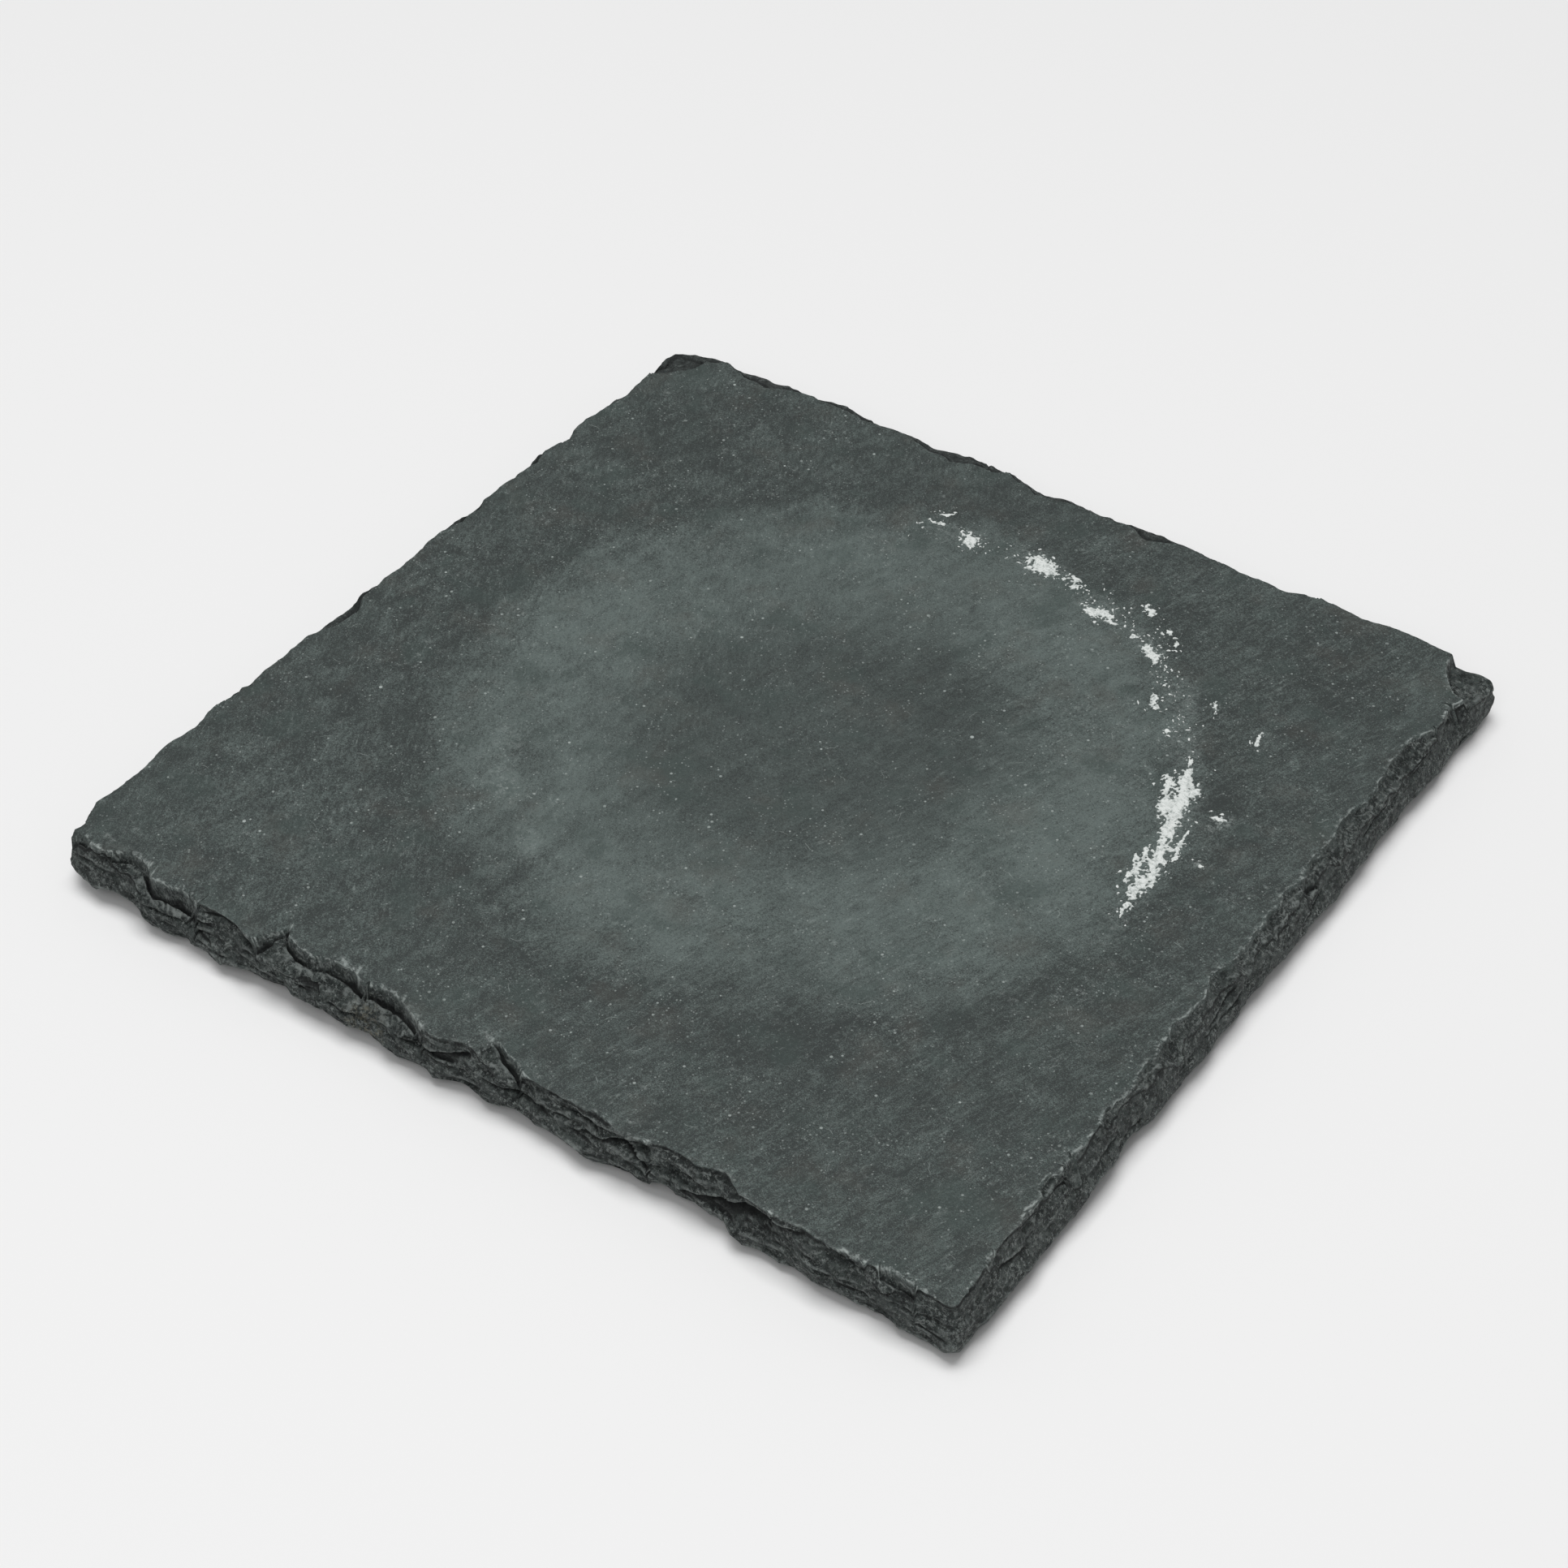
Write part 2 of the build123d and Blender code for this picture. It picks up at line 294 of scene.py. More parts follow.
LEDGES: dict[Side, Ledge] = {
    Side.FRONT: Ledge((
        (-50.0, 1.2, 0.6, 1.2, 0.3), (-47.4, 2.1, 0.5, 0.9, 0.9), (-45.4, 1.5, 0.5, 0.9, 1.0),
        (-43.4, 1.6, 0.5, 1.0, 1.0), (-42.0, 2.4, 0.6, 1.2, 0.9), (-41.2, 3.3, 0.8, 1.5, 0.9),
        (-40.0, 2.9, 0.9, 1.6, 1.0), (-38.6, 2.3, 1.1, 1.9, 1.0), (-37.2, 1.3, 1.2, 2.2, 0.8),
        (-36.0, 1.5, 1.2, 2.4, 0.7), (-34.2, 2.0, 1.4, 3.0, 0.9), (-33.0, 1.9, 1.5, 3.1, 0.8),
        (-31.6, 1.1, 1.2, 2.9, 0.4), (-30.2, 0.8, 1.0, 2.4, 0.4), (-28.4, 1.0, 0.9, 2.1, 0.6),
        (-26.4, 0.7, 0.6, 1.6, 0.3), (-24.6, 1.0, 0.7, 1.5, 0.5), (-23.4, 2.0, 0.8, 1.6, 0.7),
        (-22.7, 3.9, 0.5, 1.6, 0.9), (-22.2, 2.9, 0.8, 1.7, 0.8), (-20.8, 2.5, 1.0, 1.9, 0.9),
        (-19.0, 2.6, 1.1, 2.1, 1.0), (-17.0, 2.8, 1.2, 2.2, 1.0), (-14.4, 2.9, 1.3, 2.4, 1.0),
        (-12.8, 2.4, 1.0, 2.2, 0.6), (-11.6, 2.8, 1.1, 2.3, 0.8), (-9.6, 2.8, 1.2, 2.4, 0.9),
        (-8.4, 2.2, 1.3, 2.2, 0.8), (-6.8, 1.5, 1.2, 1.8, 0.9), (-5.4, 1.0, 1.5, 1.9, 0.8),
        (-3.7, 0.5, 1.8, 2.2, 0.9), (-1.6, 0.6, 1.4, 1.8, 0.8), (0.0, 0.8, 0.8, 1.2, 0.7),
        (0.6, 2.6, 0.1, 0.9, 0.1), (1.2, 3.6, 0.3, 1.1, 0.6), (2.6, 2.9, 0.6, 1.4, 0.8),
        (4.5, 2.3, 0.8, 1.9, 0.9), (5.3, 1.7, 0.9, 2.1, 0.8), (6.6, 1.1, 0.9, 2.2, 0.6),
        (8.2, 1.3, 0.8, 2.4, 0.4), (10.4, 1.0, 0.6, 1.6, 0.5), (12.6, 0.7, 0.5, 1.6, 0.3),
        (14.4, 0.6, 0.7, 2.0, 0.5), (16.6, 0.6, 1.0, 2.5, 0.7), (18.4, 1.3, 0.7, 2.2, 0.4),
        (20.0, 1.6, 0.5, 1.8, 0.4), (21.6, 0.9, 0.6, 2.0, 0.4), (24.0, 0.8, 0.9, 2.6, 0.8),
        (27.0, 1.0, 0.9, 2.3, 1.0), (29.6, 1.2, 0.9, 1.6, 1.0), (32.0, 0.9, 0.6, 1.0, 0.9),
        (34.6, 0.6, 0.4, 0.7, 0.5), (37.0, 0.7, 0.6, 1.4, 0.3), (40.0, 0.9, 0.7, 1.6, 0.3),
        (42.4, 1.6, 0.8, 1.4, 0.7), (44.6, 1.4, 0.7, 1.5, 0.6), (46.2, 1.1, 0.6, 1.6, 0.4),
        (47.8, 0.6, 0.6, 1.6, 0.3), (50.0, 0.6, 0.6, 1.6, 0.2),
    )),
    Side.RIGHT: Ledge((
        *unstepped((
            (-49.5, 0.7, 1.9), (-47.2, 0.6, 1.7), (-45.0, 1.1, 1.5), (-42.4, 1.5, 1.8), (-40.6, 1.2, 2.1),
            (-37.8, 1.7, 1.9), (-35.4, 1.6, 1.9), (-33.4, 2.1, 2.1), (-31.0, 1.8, 1.8), (-28.2, 2.0, 2.1),
            (-25.6, 1.6, 2.3), (-22.6, 2.1, 1.7), (-19.8, 1.8, 2.1), (-16.2, 2.2, 1.8), (-13.4, 2.0, 2.4),
            (-10.4, 2.3, 2.1), (-7.4, 2.0, 2.1), (-4.2, 2.3, 1.8), (-1.2, 2.0, 2.1), (2.4, 2.3, 1.9),
            (5.2, 2.0, 2.3), (8.0, 2.4, 2.3), (11.4, 2.1, 1.8), (14.6, 2.4, 2.1), (17.6, 2.2, 1.9),
            (20.8, 2.6, 2.3), (24.0, 2.2, 2.1), (27.4, 2.6, 1.8), (30.2, 2.4, 2.3), (33.2, 2.7, 2.1),
            (35.6, 2.3, 2.1),
        )),
        (37.4, 1.6, 0.4, 2.3, 0.5), (39.6, 1.4, 0.5, 2.4, 0.7), (42.0, 1.2, 0.5, 2.7, 0.7),
        (44.0, 1.1, 0.4, 2.4, 0.1), (49.5, 1.1, 0.4, 2.4, 0.1),
    )),
    Side.BACK: Ledge((
        (-49.5, 1.4, 0.1, 0.7, 0.3), (-46.0, 1.9, 0.2, 0.7, 0.3), (-43.0, 0.8, 0.1, 0.3, 0.2),
        (-40.0, 1.7, 0.2, 0.6, 0.4), (-36.5, 1.9, 0.2, 0.7, 0.3), (-34.0, 0.9, 0.1, 0.4, 0.2),
        (-31.5, 0.5, 0.1, 0.3, 0.1), (-29.0, 1.0, 0.2, 0.5, 0.3), (-27.0, 0.5, 0.1, 0.3, 0.1),
        (-24.0, 1.3, 0.2, 0.5, 0.3), (-20.5, 0.6, 0.1, 0.3, 0.1), (-18.0, 1.2, 0.2, 0.5, 0.3),
        (-15.5, 1.6, 0.2, 0.6, 0.3), (-13.0, 2.2, 0.2, 0.8, 0.3), (-10.5, 1.1, 0.1, 0.5, 0.2),
        (-8.6, 0.9, 0.3, 0.8, 0.6), (-7.0, 0.5, 0.2, 0.4, 0.3), (-5.0, 1.4, 0.1, 0.5, 0.2),
        (-2.5, 2.0, 0.2, 0.7, 0.4), (0.0, 1.6, 0.2, 0.6, 0.4), (2.6, 1.2, 0.2, 0.5, 0.3),
        (5.0, 1.6, 0.2, 0.6, 0.3), (8.0, 1.1, 0.2, 0.5, 0.4), (11.0, 2.0, 0.2, 0.8, 0.4),
        (13.5, 1.2, 0.2, 0.5, 0.3), (16.0, 1.0, 0.2, 0.5, 0.3), (18.5, 1.2, 0.1, 0.5, 0.2),
        (21.0, 0.9, 0.3, 0.6, 0.5), (24.0, 0.6, 0.1, 0.3, 0.1), (27.0, 0.5, 0.1, 0.3, 0.2),
        (29.0, 0.9, 0.4, 0.7, 0.6), (31.5, 0.5, 0.1, 0.3, 0.2), (36.0, 0.5, 0.1, 0.3, 0.1),
        (40.0, 0.6, 0.1, 0.4, 0.1), (44.0, 0.7, 0.1, 0.5, 0.1), (49.5, 1.2, 0.1, 0.6, 0.1),
    )),
    Side.LEFT: Ledge((
        (-49.5, 1.4, 0.2, 1.0, 0.3), (-46.0, 1.3, 0.2, 0.9, 0.3), (-42.0, 0.9, 0.1, 0.5, 0.2),
        (-38.0, 1.1, 0.2, 0.5, 0.3), (-34.0, 0.5, 0.1, 0.3, 0.1), (-29.0, 0.5, 0.1, 0.3, 0.1),
        (-26.0, 1.2, 0.2, 0.4, 0.3), (-22.0, 1.6, 0.2, 0.5, 0.4), (-18.5, 0.6, 0.1, 0.3, 0.2),
        (-14.0, 0.6, 0.1, 0.3, 0.1), (-11.0, 2.2, 0.2, 0.7, 0.4), (-8.0, 2.8, 0.3, 0.9, 0.5),
        (-5.0, 1.8, 0.2, 0.6, 0.3), (-1.0, 1.2, 0.2, 0.5, 0.3), (3.0, 1.0, 0.1, 0.4, 0.2),
        (7.0, 0.7, 0.1, 0.3, 0.2), (10.0, 1.6, 0.2, 0.7, 0.4), (12.4, 2.0, 0.3, 0.8, 0.5),
        (14.5, 0.8, 0.1, 0.4, 0.2), (18.0, 1.4, 0.2, 0.5, 0.3), (22.0, 1.7, 0.2, 0.6, 0.3),
        (24.5, 0.8, 0.1, 0.4, 0.2), (27.5, 1.7, 0.2, 0.7, 0.4), (30.5, 0.6, 0.1, 0.4, 0.2),
        (34.0, 1.6, 0.2, 0.6, 0.4), (38.0, 2.0, 0.2, 0.8, 0.4), (41.0, 1.0, 0.1, 0.4, 0.2),
        (44.0, 1.8, 0.2, 0.7, 0.4), (49.5, 1.8, 0.2, 0.8, 0.3),
    )),
}

# Flakes that broke from the riven face
TOP_SCARS: dict[Side, Sequence[Scar]] = {
    Side.FRONT: (
        Scar(-33.6, 4.2, 1.5, 3.1, 1.0, 0.3, 0.5),
        Scar(16.6, 6.0, 0.7, 2.8, 0.7, 0.0, 0.3),
    ),
    Side.RIGHT: (
        Scar(-30.2, 5.6, 1.7, 2.4, 0.9, 0.0, 0.3),
        Scar(-21.4, 4.6, 1.5, 2.6, 0.9, 0.0, 0.2),
        Scar(12.2, 6.0, 2.0, 2.5, 1.0, 0.0, 0.3),
        Scar(40.8, 5.4, 1.5, 3.0, 0.7, 0.3, 0.5),
    ),
    Side.BACK: (
        Scar(-8.6, 2.8, 0.8, 0.9, 0.4),
        Scar(11.0, 5.2, 2.2, 0.4, 0.4),
        Scar(29.0, 2.6, 0.8, 0.9, 0.4),
    ),
    Side.LEFT: (
        Scar(-44.6, 4.6, 1.6, 0.9, 0.8),
        Scar(-8.0, 6.0, 2.6, 0.5, 0.5),
        Scar(12.0, 4.0, 1.7, 0.5, 0.4),
        Scar(27.8, 4.0, 1.5, 0.5, 0.5),
    ),
}

# Flakes that broke from the under face, which leave arches in the lower edge
BOTTOM_SCARS: dict[Side, Sequence[Scar]] = {
    Side.FRONT: (
        Scar(-41.6, 7.6, 2.0, 1.5, 1.5),
        Scar(-33.0, 4.0, 0.7, 0.4, 0.6),
        Scar(-26.6, 4.2, 1.0, 0.6, 0.8),
        Scar(-21.8, 3.4, 1.0, 0.8, 0.8),
        Scar(-12.6, 5.4, 1.4, 0.9, 1.1),
        Scar(-1.0, 4.2, 1.3, 1.0, 1.0),
        Scar(4.6, 5.0, 1.5, 1.2, 1.1),
        Scar(20.4, 5.6, 1.6, 1.75, 1.2),
        Scar(25.9, 4.8, 1.3, 1.1, 0.9),
        Scar(35.0, 5.0, 0.6, 0.3, 0.5),
    ),
    Side.RIGHT: (
        Scar(-21.6, 5.2, 1.2, 1.5, 0.9),
        Scar(-33.0, 6.0, 0.6, 0.4, 0.5),
        Scar(6.0, 7.0, 0.6, 0.4, 0.5),
        Scar(20.9, 4.4, 0.9, 0.9, 0.7),
    ),
    Side.BACK: (
        Scar(-38.0, 5.0, 0.9, 0.8, 0.8),
        Scar(-18.0, 8.0, 1.3, 1.4, 1.1),
        Scar(-6.0, 4.6, 0.9, 0.7, 0.7),
        Scar(12.0, 6.0, 1.0, 0.9, 0.8),
        Scar(31.0, 7.4, 1.2, 1.2, 1.0),
        Scar(43.0, 4.0, 0.8, 0.7, 0.7),
    ),
    Side.LEFT: (
        Scar(-36.0, 5.0, 0.9, 0.7, 0.7),
        Scar(-9.0, 6.0, 1.0, 0.9, 0.9),
        Scar(14.0, 7.4, 1.3, 1.3, 1.1),
        Scar(34.0, 5.0, 0.9, 0.8, 0.8),
    ),
}

CORNER_SCARS = (
    CornerScar(50.6, 48.1, 5.7, 1.75, 0.45),
    CornerScar(-51.2, 48.4, 6.4, 0.5, 0.3),
)

# Cracks where a layer overhangs the stone below it
CLEFTS: dict[Side, Sequence[Cleft]] = {
    Side.FRONT: (
        Cleft(((-48.0, 5.5), (-44.6, 5.35), (-41.2, 5.6), (-39.6, 5.3), (-37.4, 4.7)), 1.1, 0.5),
        Cleft(((-34.6, 5.9), (-33.6, 5.5), (-32.7, 4.5), (-31.6, 3.3), (-29.8, 2.9)), 0.7, 0.35),
        Cleft(((-31.2, 5.5), (-29.6, 5.6), (-27.9, 5.5)), 0.35, 0.2),
        Cleft(((-36.0, 2.5), (-30.0, 2.3), (-24.5, 2.5), (-20.5, 2.2)), 0.3, 0.2),
        Cleft(((-23.6, 5.0), (-21.6, 4.9), (-18.6, 4.6), (-15.0, 4.5), (-12.8, 4.2)), 0.8, 0.5),
        Cleft(((-11.4, 4.6), (-8.4, 4.5), (-6.3, 4.4), (-4.9, 3.6)), 0.7, 0.4),
        Cleft(((-5.2, 3.7), (-3.3, 4.6), (-0.3, 5.3)), 0.95, 0.7),
        Cleft(((0.4, 4.1), (3.4, 3.6), (7.0, 3.8), (9.4, 3.4)), 0.45, 0.3),
        Cleft(((10.7, 3.2), (13.6, 4.3), (16.4, 5.1), (18.4, 3.7), (19.8, 2.9)), 0.7, 0.35),
        Cleft(((21.2, 2.7), (24.4, 3.7), (27.0, 4.3), (29.6, 5.1), (31.4, 5.4), (34.7, 5.75)), 1.25, 0.75),
        Cleft(((30.2, 3.6), (31.0, 4.2), (31.5, 4.9)), 0.3, 0.2),
        Cleft(((37.4, 2.9), (39.6, 2.8), (42.2, 2.8)), 0.5, 0.3),
        Cleft(((41.6, 3.7), (42.6, 4.3), (44.0, 4.8)), 0.5, 0.3),
        Cleft(((45.4, 2.9), (47.2, 2.9), (49.2, 2.7)), 0.45, 0.3),
    ),
    Side.RIGHT: (
        Cleft(((-43.0, 4.6), (-40.4, 4.2), (-37.2, 3.6)), 0.4, 0.3),
        Cleft(((-33.4, 5.4), (-31.0, 5.1), (-28.6, 4.9)), 0.5, 0.3),
        Cleft(((-23.6, 2.9), (-21.2, 3.1), (-19.4, 2.7)), 0.6, 0.35),
        Cleft(((-7.8, 3.9), (-5.2, 4.2), (-2.6, 4.4)), 0.55, 0.3),
        Cleft(((9.4, 3.1), (11.4, 3.5), (13.4, 3.9)), 0.6, 0.35),
        Cleft(((21.6, 4.1), (24.4, 4.4), (27.0, 4.3)), 0.45, 0.3),
        Cleft(((31.0, 4.4), (33.4, 4.7), (36.4, 4.5)), 0.45, 0.3),
        Cleft(((38.6, 5.0), (41.0, 5.3), (43.6, 5.5)), 0.8, 0.5),
    ),
    Side.BACK: (
        Cleft(((-40.0, 4.4), (-34.0, 4.7), (-29.0, 4.3)), 0.4, 0.3),
        Cleft(((-14.0, 3.4), (-8.0, 3.7), (-2.0, 3.3)), 0.5, 0.3),
        Cleft(((17.0, 4.1), (23.0, 4.5), (29.0, 4.0)), 0.5, 0.3),
    ),
    Side.LEFT: (
        Cleft(((-28.0, 4.2), (-21.0, 4.5), (-15.0, 4.1)), 0.4, 0.3),
        Cleft(((6.0, 3.6), (13.0, 3.9), (19.0, 3.5)), 0.5, 0.3),
    ),
}

# How far each side waves out (+) or in (-), most at its upper edge: place along it, and mm
WAVES: dict[Side, Sequence[tuple[float, float]]] = {
    Side.FRONT: (
        (-50.0, 0.0), (-47.0, -0.7), (-43.0, -1.0), (-40.0, -0.9), (-37.0, -0.3), (-35.0, 0.0), (-31.0, -0.4),
        (-28.0, -0.2), (-24.0, 0.0), (-21.0, -0.3), (-18.0, 0.0), (-15.0, -0.4), (-12.8, -0.6), (-9.0, 0.1),
        (-5.0, -0.4), (-1.0, -0.6), (2.0, -0.3), (5.0, -0.6), (8.0, 0.0), (13.0, -0.2), (15.0, -0.1),
        (18.0, -0.5), (22.0, -0.6), (24.0, -0.6), (26.0, -1.0), (29.0, -0.3), (31.0, 0.2), (40.0, 0.2),
        (44.0, -0.1), (50.0, -0.1),
    ),
    Side.RIGHT: ((-50.0, 0.0), (-26.0, -0.15), (-10.0, 0.1), (16.0, -0.1), (50.0, 0.0)),
    Side.BACK: (
        (-47.5, 0.2), (-44.0, 0.7), (-41.3, 0.2), (-36.3, 1.0), (-33.0, 0.4), (-31.0, 0.7), (-28.2, 1.4),
        (-26.0, 0.6), (-22.7, 0.0), (-19.5, 0.8), (-16.0, 0.3), (-13.0, 1.3), (-10.0, 1.3), (-8.4, 1.5),
        (-5.5, 0.6), (-2.2, -0.3), (0.8, 0.4), (3.0, 0.0), (6.2, 0.4), (9.2, 0.2), (10.8, 0.8),
        (13.0, 0.3), (14.8, 1.0), (16.8, -0.2), (19.0, -0.4), (22.0, -0.9), (25.3, -0.6), (26.3, -1.1),
        (30.5, 0.0), (33.0, -0.3), (33.7, -0.1), (34.8, -0.5), (38.0, -0.1), (41.0, -0.2), (44.0, -0.6),
        (46.0, -0.7), (49.0, -0.4),
    ),
    Side.LEFT: (
        (-49.0, -1.5), (-46.6, -1.1), (-44.4, -0.3), (-41.6, -0.7), (-37.5, -0.6), (-33.5, -0.1),
        (-30.1, -0.4), (-26.5, 0.4), (-22.2, 0.1), (-18.0, -0.4), (-14.0, 0.1), (-10.5, 0.1), (-6.8, -0.3),
        (-3.8, 0.3), (-0.6, -0.4), (2.8, -0.4), (5.6, 0.2), (8.4, 0.2), (12.0, 0.0), (15.4, -0.3),
        (18.0, 0.1), (21.2, -0.3), (23.4, 0.3), (26.4, -0.3), (31.0, -0.2), (34.0, 0.2), (37.0, 0.0),
        (39.8, -0.8), (42.0, -0.7), (45.0, -0.4), (47.6, 0.5),
    ),
}


@dataclass(frozen=True)
class Columns:
    """The border's columns: points of the outline, their sides, the ways out, and widths in mm."""

    points: np.ndarray
    owners: np.ndarray
    unit: np.ndarray
    reach: np.ndarray

    def place(self, d: np.ndarray) -> tuple[np.ndarray, np.ndarray]:
        """The x and y of distances out from the outline, mm."""
        return self.points[:, :1] + self.unit[:, :1] * d, self.points[:, 1:] + self.unit[:, 1:] * d


@dataclass(frozen=True)
class Relief:
    """A distance at even heights in each column of the sides, mm."""

    heights: np.ndarray
    table: np.ndarray

    def at(self, z: np.ndarray) -> np.ndarray:
        """The distance at given heights.

        Args:
            z: Heights, the first axis of which runs over the columns, mm.

        Returns:
            The distances, mm.
        """
        step = self.heights[1] - self.heights[0]
        place = np.clip((z - self.heights[0]) / step, 0, len(self.heights) - 1.001)
        index = place.astype(int)
        part = place - index
        rows = np.arange(len(self.table)).reshape((-1,) + (1,) * (z.ndim - 1))
        return self.table[rows, index] * (1 - part) + self.table[rows, index + 1] * part


@dataclass
class SlateSlab:
    """The stone: a riven top, flaked sides and a plain under face, as one closed mesh."""

    low: Vector
    high: Vector
    name: str = "riven_slate"
    columns: int = 360          # columns of faces on each side
    top_rows: int = 18
    wall_rows: int = 31
    under_rows: int = 7
    top_cells: int = 90         # faces along each side of the middle of the top
    under_cells: int = 60
    margin: float = 6.0         # width of the finely modelled border, mm
    gap: float = 0.6            # room left for the faces that join a middle to the border, mm
    sink: float = 2.0           # how far the middles lie in while they are joined on, mm
    lean: dict[Side, float] = field(
        default_factory=lambda: {Side.FRONT: 0.9, Side.RIGHT: 1.3, Side.BACK: 0.7, Side.LEFT: 1.0}
    )
    corner_radius: dict[tuple[int, int], float] = field(
        default_factory=lambda: {(-1, -1): 4.2, (1, -1): 1.2, (1, 1): 1.3, (-1, 1): 3.4}
    )

    def __post_init__(self) -> None:
        """Takes the stone's size from its CAD box, in mm."""
        self.half_x = (self.high.x - self.low.x) / 2 / MM
        self.half_y = (self.high.y - self.low.y) / 2 / MM
        self.bottom = self.low.z / MM
        self.top = self.high.z / MM
        self.thick = self.top - self.bottom
        self.noise = Roughness(SEED)
        self.noise_b = Roughness(SEED + 1)

    # ----- outline

    def half(self, side: Side) -> float:
        """Half of the stone's size at right angles to a side, mm."""
        return self.half_x if side.value[0] else self.half_y

    def outline(self) -> tuple[np.ndarray, np.ndarray]:
        """The lower outline, anticlockwise from the middle of the front left corner's arc.

        Returns:
            Its points, and which side each belongs to, one row for each column edge.
        """
        turns = [(-1, -1), (1, -1), (1, 1), (-1, 1)]
        points, owners = [], []
        for number, side in enumerate((Side.FRONT, Side.RIGHT, Side.BACK, Side.LEFT)):
            start, end = turns[number], turns[(number + 1) % 4]
            first = self.corner_arc(start, number, 0.5, 1.0)
            last = self.corner_arc(end, number + 1, 0.0, 0.5)
            path = np.vstack((first, last))
            steps = np.hypot(*np.diff(path, axis=0).T)
            run = np.concatenate(([0.0], np.cumsum(steps)))
            at = np.linspace(0.0, run[-1], self.columns + 1)[:-1]
            points.append(np.stack([np.interp(at, run, path[:, axis]) for axis in (0, 1)], 1))
            owners += [number] * self.columns
        return np.vstack(points), np.array(owners)

    def corner_arc(self, corner: tuple[int, int], number: int, start: float, end: float) -> np.ndarray:
        """Part of a corner's arc.

        Args:
            corner: Which way the corner lies from the middle.
            number: How many corners the outline has turned before it.
            start: Where the part starts, from 0 to 1 round the arc.
            end: Where it ends.

        Returns:
            Points along it, mm.
        """
        radius = self.corner_radius[corner]
        middle = (corner[0] * (self.half_x - radius), corner[1] * (self.half_y - radius))
        share = np.linspace(start, end, 9)
        turn = math.radians(180 + 90 * number) + share * math.pi / 2
        return np.stack((middle[0] + radius * np.cos(turn), middle[1] + radius * np.sin(turn)), 1)

    def inner(self, points: np.ndarray) -> np.ndarray:
        """The matching points on the inner edge of the border.

        Near the corners the border's columns turn to point at the corner.

        Args:
            points: Points of the outline.

        Returns:
            One point for each, mm.
        """
        halves = np.array((self.half_x, self.half_y))
        far = halves - 2 * self.margin
        beyond = np.maximum(np.abs(points) - far, 0.0)
        return np.sign(points) * (np.minimum(np.abs(points), far) + beyond / 2)

    # ----- heights

    def scar_depth(
        self, x: np.ndarray, y: np.ndarray, lists: dict[Side, Sequence[Scar]]
    ) -> tuple[np.ndarray, np.ndarray]:
        """How far flakes have lowered a face.

        Args:
            x: Places across the slab, mm.
            y: Places along the slab, mm.
            lists: The flakes of each side.

        Returns:
            The depth of the deepest flake at each place, mm, and how far it lies in a crack.
        """
        wx = x + 0.26 * self.noise.at(x, y, 2.3)
        wy = y + 0.26 * self.noise.at(x + 90, y, 2.3)
        jag = 0.34 * self.noise.bowls(x, y, 3.4, 2.8) + 0.09 * self.noise_b.at(x, y, 1.1)
        broken_up = np.clip(0.75 + 0.9 * self.noise_b.at(x, y, 2.6), 0.0, 1.3)
        depth, crack = np.zeros(np.broadcast(x, y).shape), np.zeros(np.broadcast(x, y).shape)
        for side, scars in lists.items():
            out_x, out_y = side.value
            for scar in scars:
                away = self.half(side) - scar.bite + scar.radius
                cx = out_x * away if out_x else scar.along
                cy = out_y * away if out_y else scar.along
                inside = scar.radius - np.hypot(wx - cx, wy - cy) - jag
                riser = ease(inside / 0.42)
                slope = np.clip(inside / (1.7 * scar.run), 0.0, 1.0)
                bowl = scar.reach * (0.36 * riser + 0.64 * (1.0 - (1.0 - slope) ** 1.5))
                along = (wx if out_y else wy) - scar.along
                fade = np.clip(1.0 + scar.tilt * (2.0 * along / scar.wide - 0.35), 0.0, 1.6)
                notch = scar.notch * np.minimum(fade, 1.0) * broken_up * bell(inside, 0.5, 0.2)
                bowl = bowl * fade
                crack = np.where(bowl > depth, notch, crack * (depth > bowl + 0.1))
                depth = np.maximum(depth, bowl)
        return depth, crack

    def ledge_depth(self, x: np.ndarray, y: np.ndarray) -> tuple[np.ndarray, np.ndarray]:
        """How far the broken edges lie below the riven face.

        Args:
            x: Places across the slab, mm.
            y: Places along the slab, mm.

        Returns:
            The depth at each place, mm, and how far it lies in a crack.
        """
        wx = x + 0.34 * self.noise.at(x, y, 1.9) + 0.12 * self.noise_b.at(x, y, 0.8)
        wy = y + 0.34 * self.noise.at(x + 90, y, 1.9) + 0.12 * self.noise_b.at(x, y + 90, 0.8)
        jag = 0.42 * self.noise.bowls(x, y, 2.7, 2.3) * self.jaggedness(x, y)
        open_up = np.clip(0.8 + 0.9 * self.noise_b.at(x, y, 1.9), 0.1, 1.3)
        depth, crack = np.zeros(np.broadcast(x, y).shape), np.zeros(np.broadcast(x, y).shape)
        for side, ledge in LEDGES.items():
            out_x, out_y = side.value
            inward = self.half(side) - (wx * out_x + wy * out_y)
            bite, riser, reach, gape = ledge.at(wx if out_y else wy)
            inside = bite - inward - jag
            slope = np.clip(inside / np.maximum(bite, 0.7), 0.0, 1.3)
            fall = riser * ease(inside / 0.36) + (reach - riser) * slope**1.2
            notch = 0.95 * gape * open_up * bell(inside, 0.42, 0.15)
            crack = np.where(fall > depth, notch, crack)
            depth = np.maximum(depth, fall)
        return depth, crack

    @staticmethod
    def jaggedness(x: np.ndarray, y: np.ndarray) -> np.ndarray:
        """How jagged the lips are, half as much along the back and the left side."""
        plain = (y - x > 55.0) | (y > 44.0) | ((x < -44.0) & (y > -40.0))
        return np.where(plain, 0.5, 1.0)

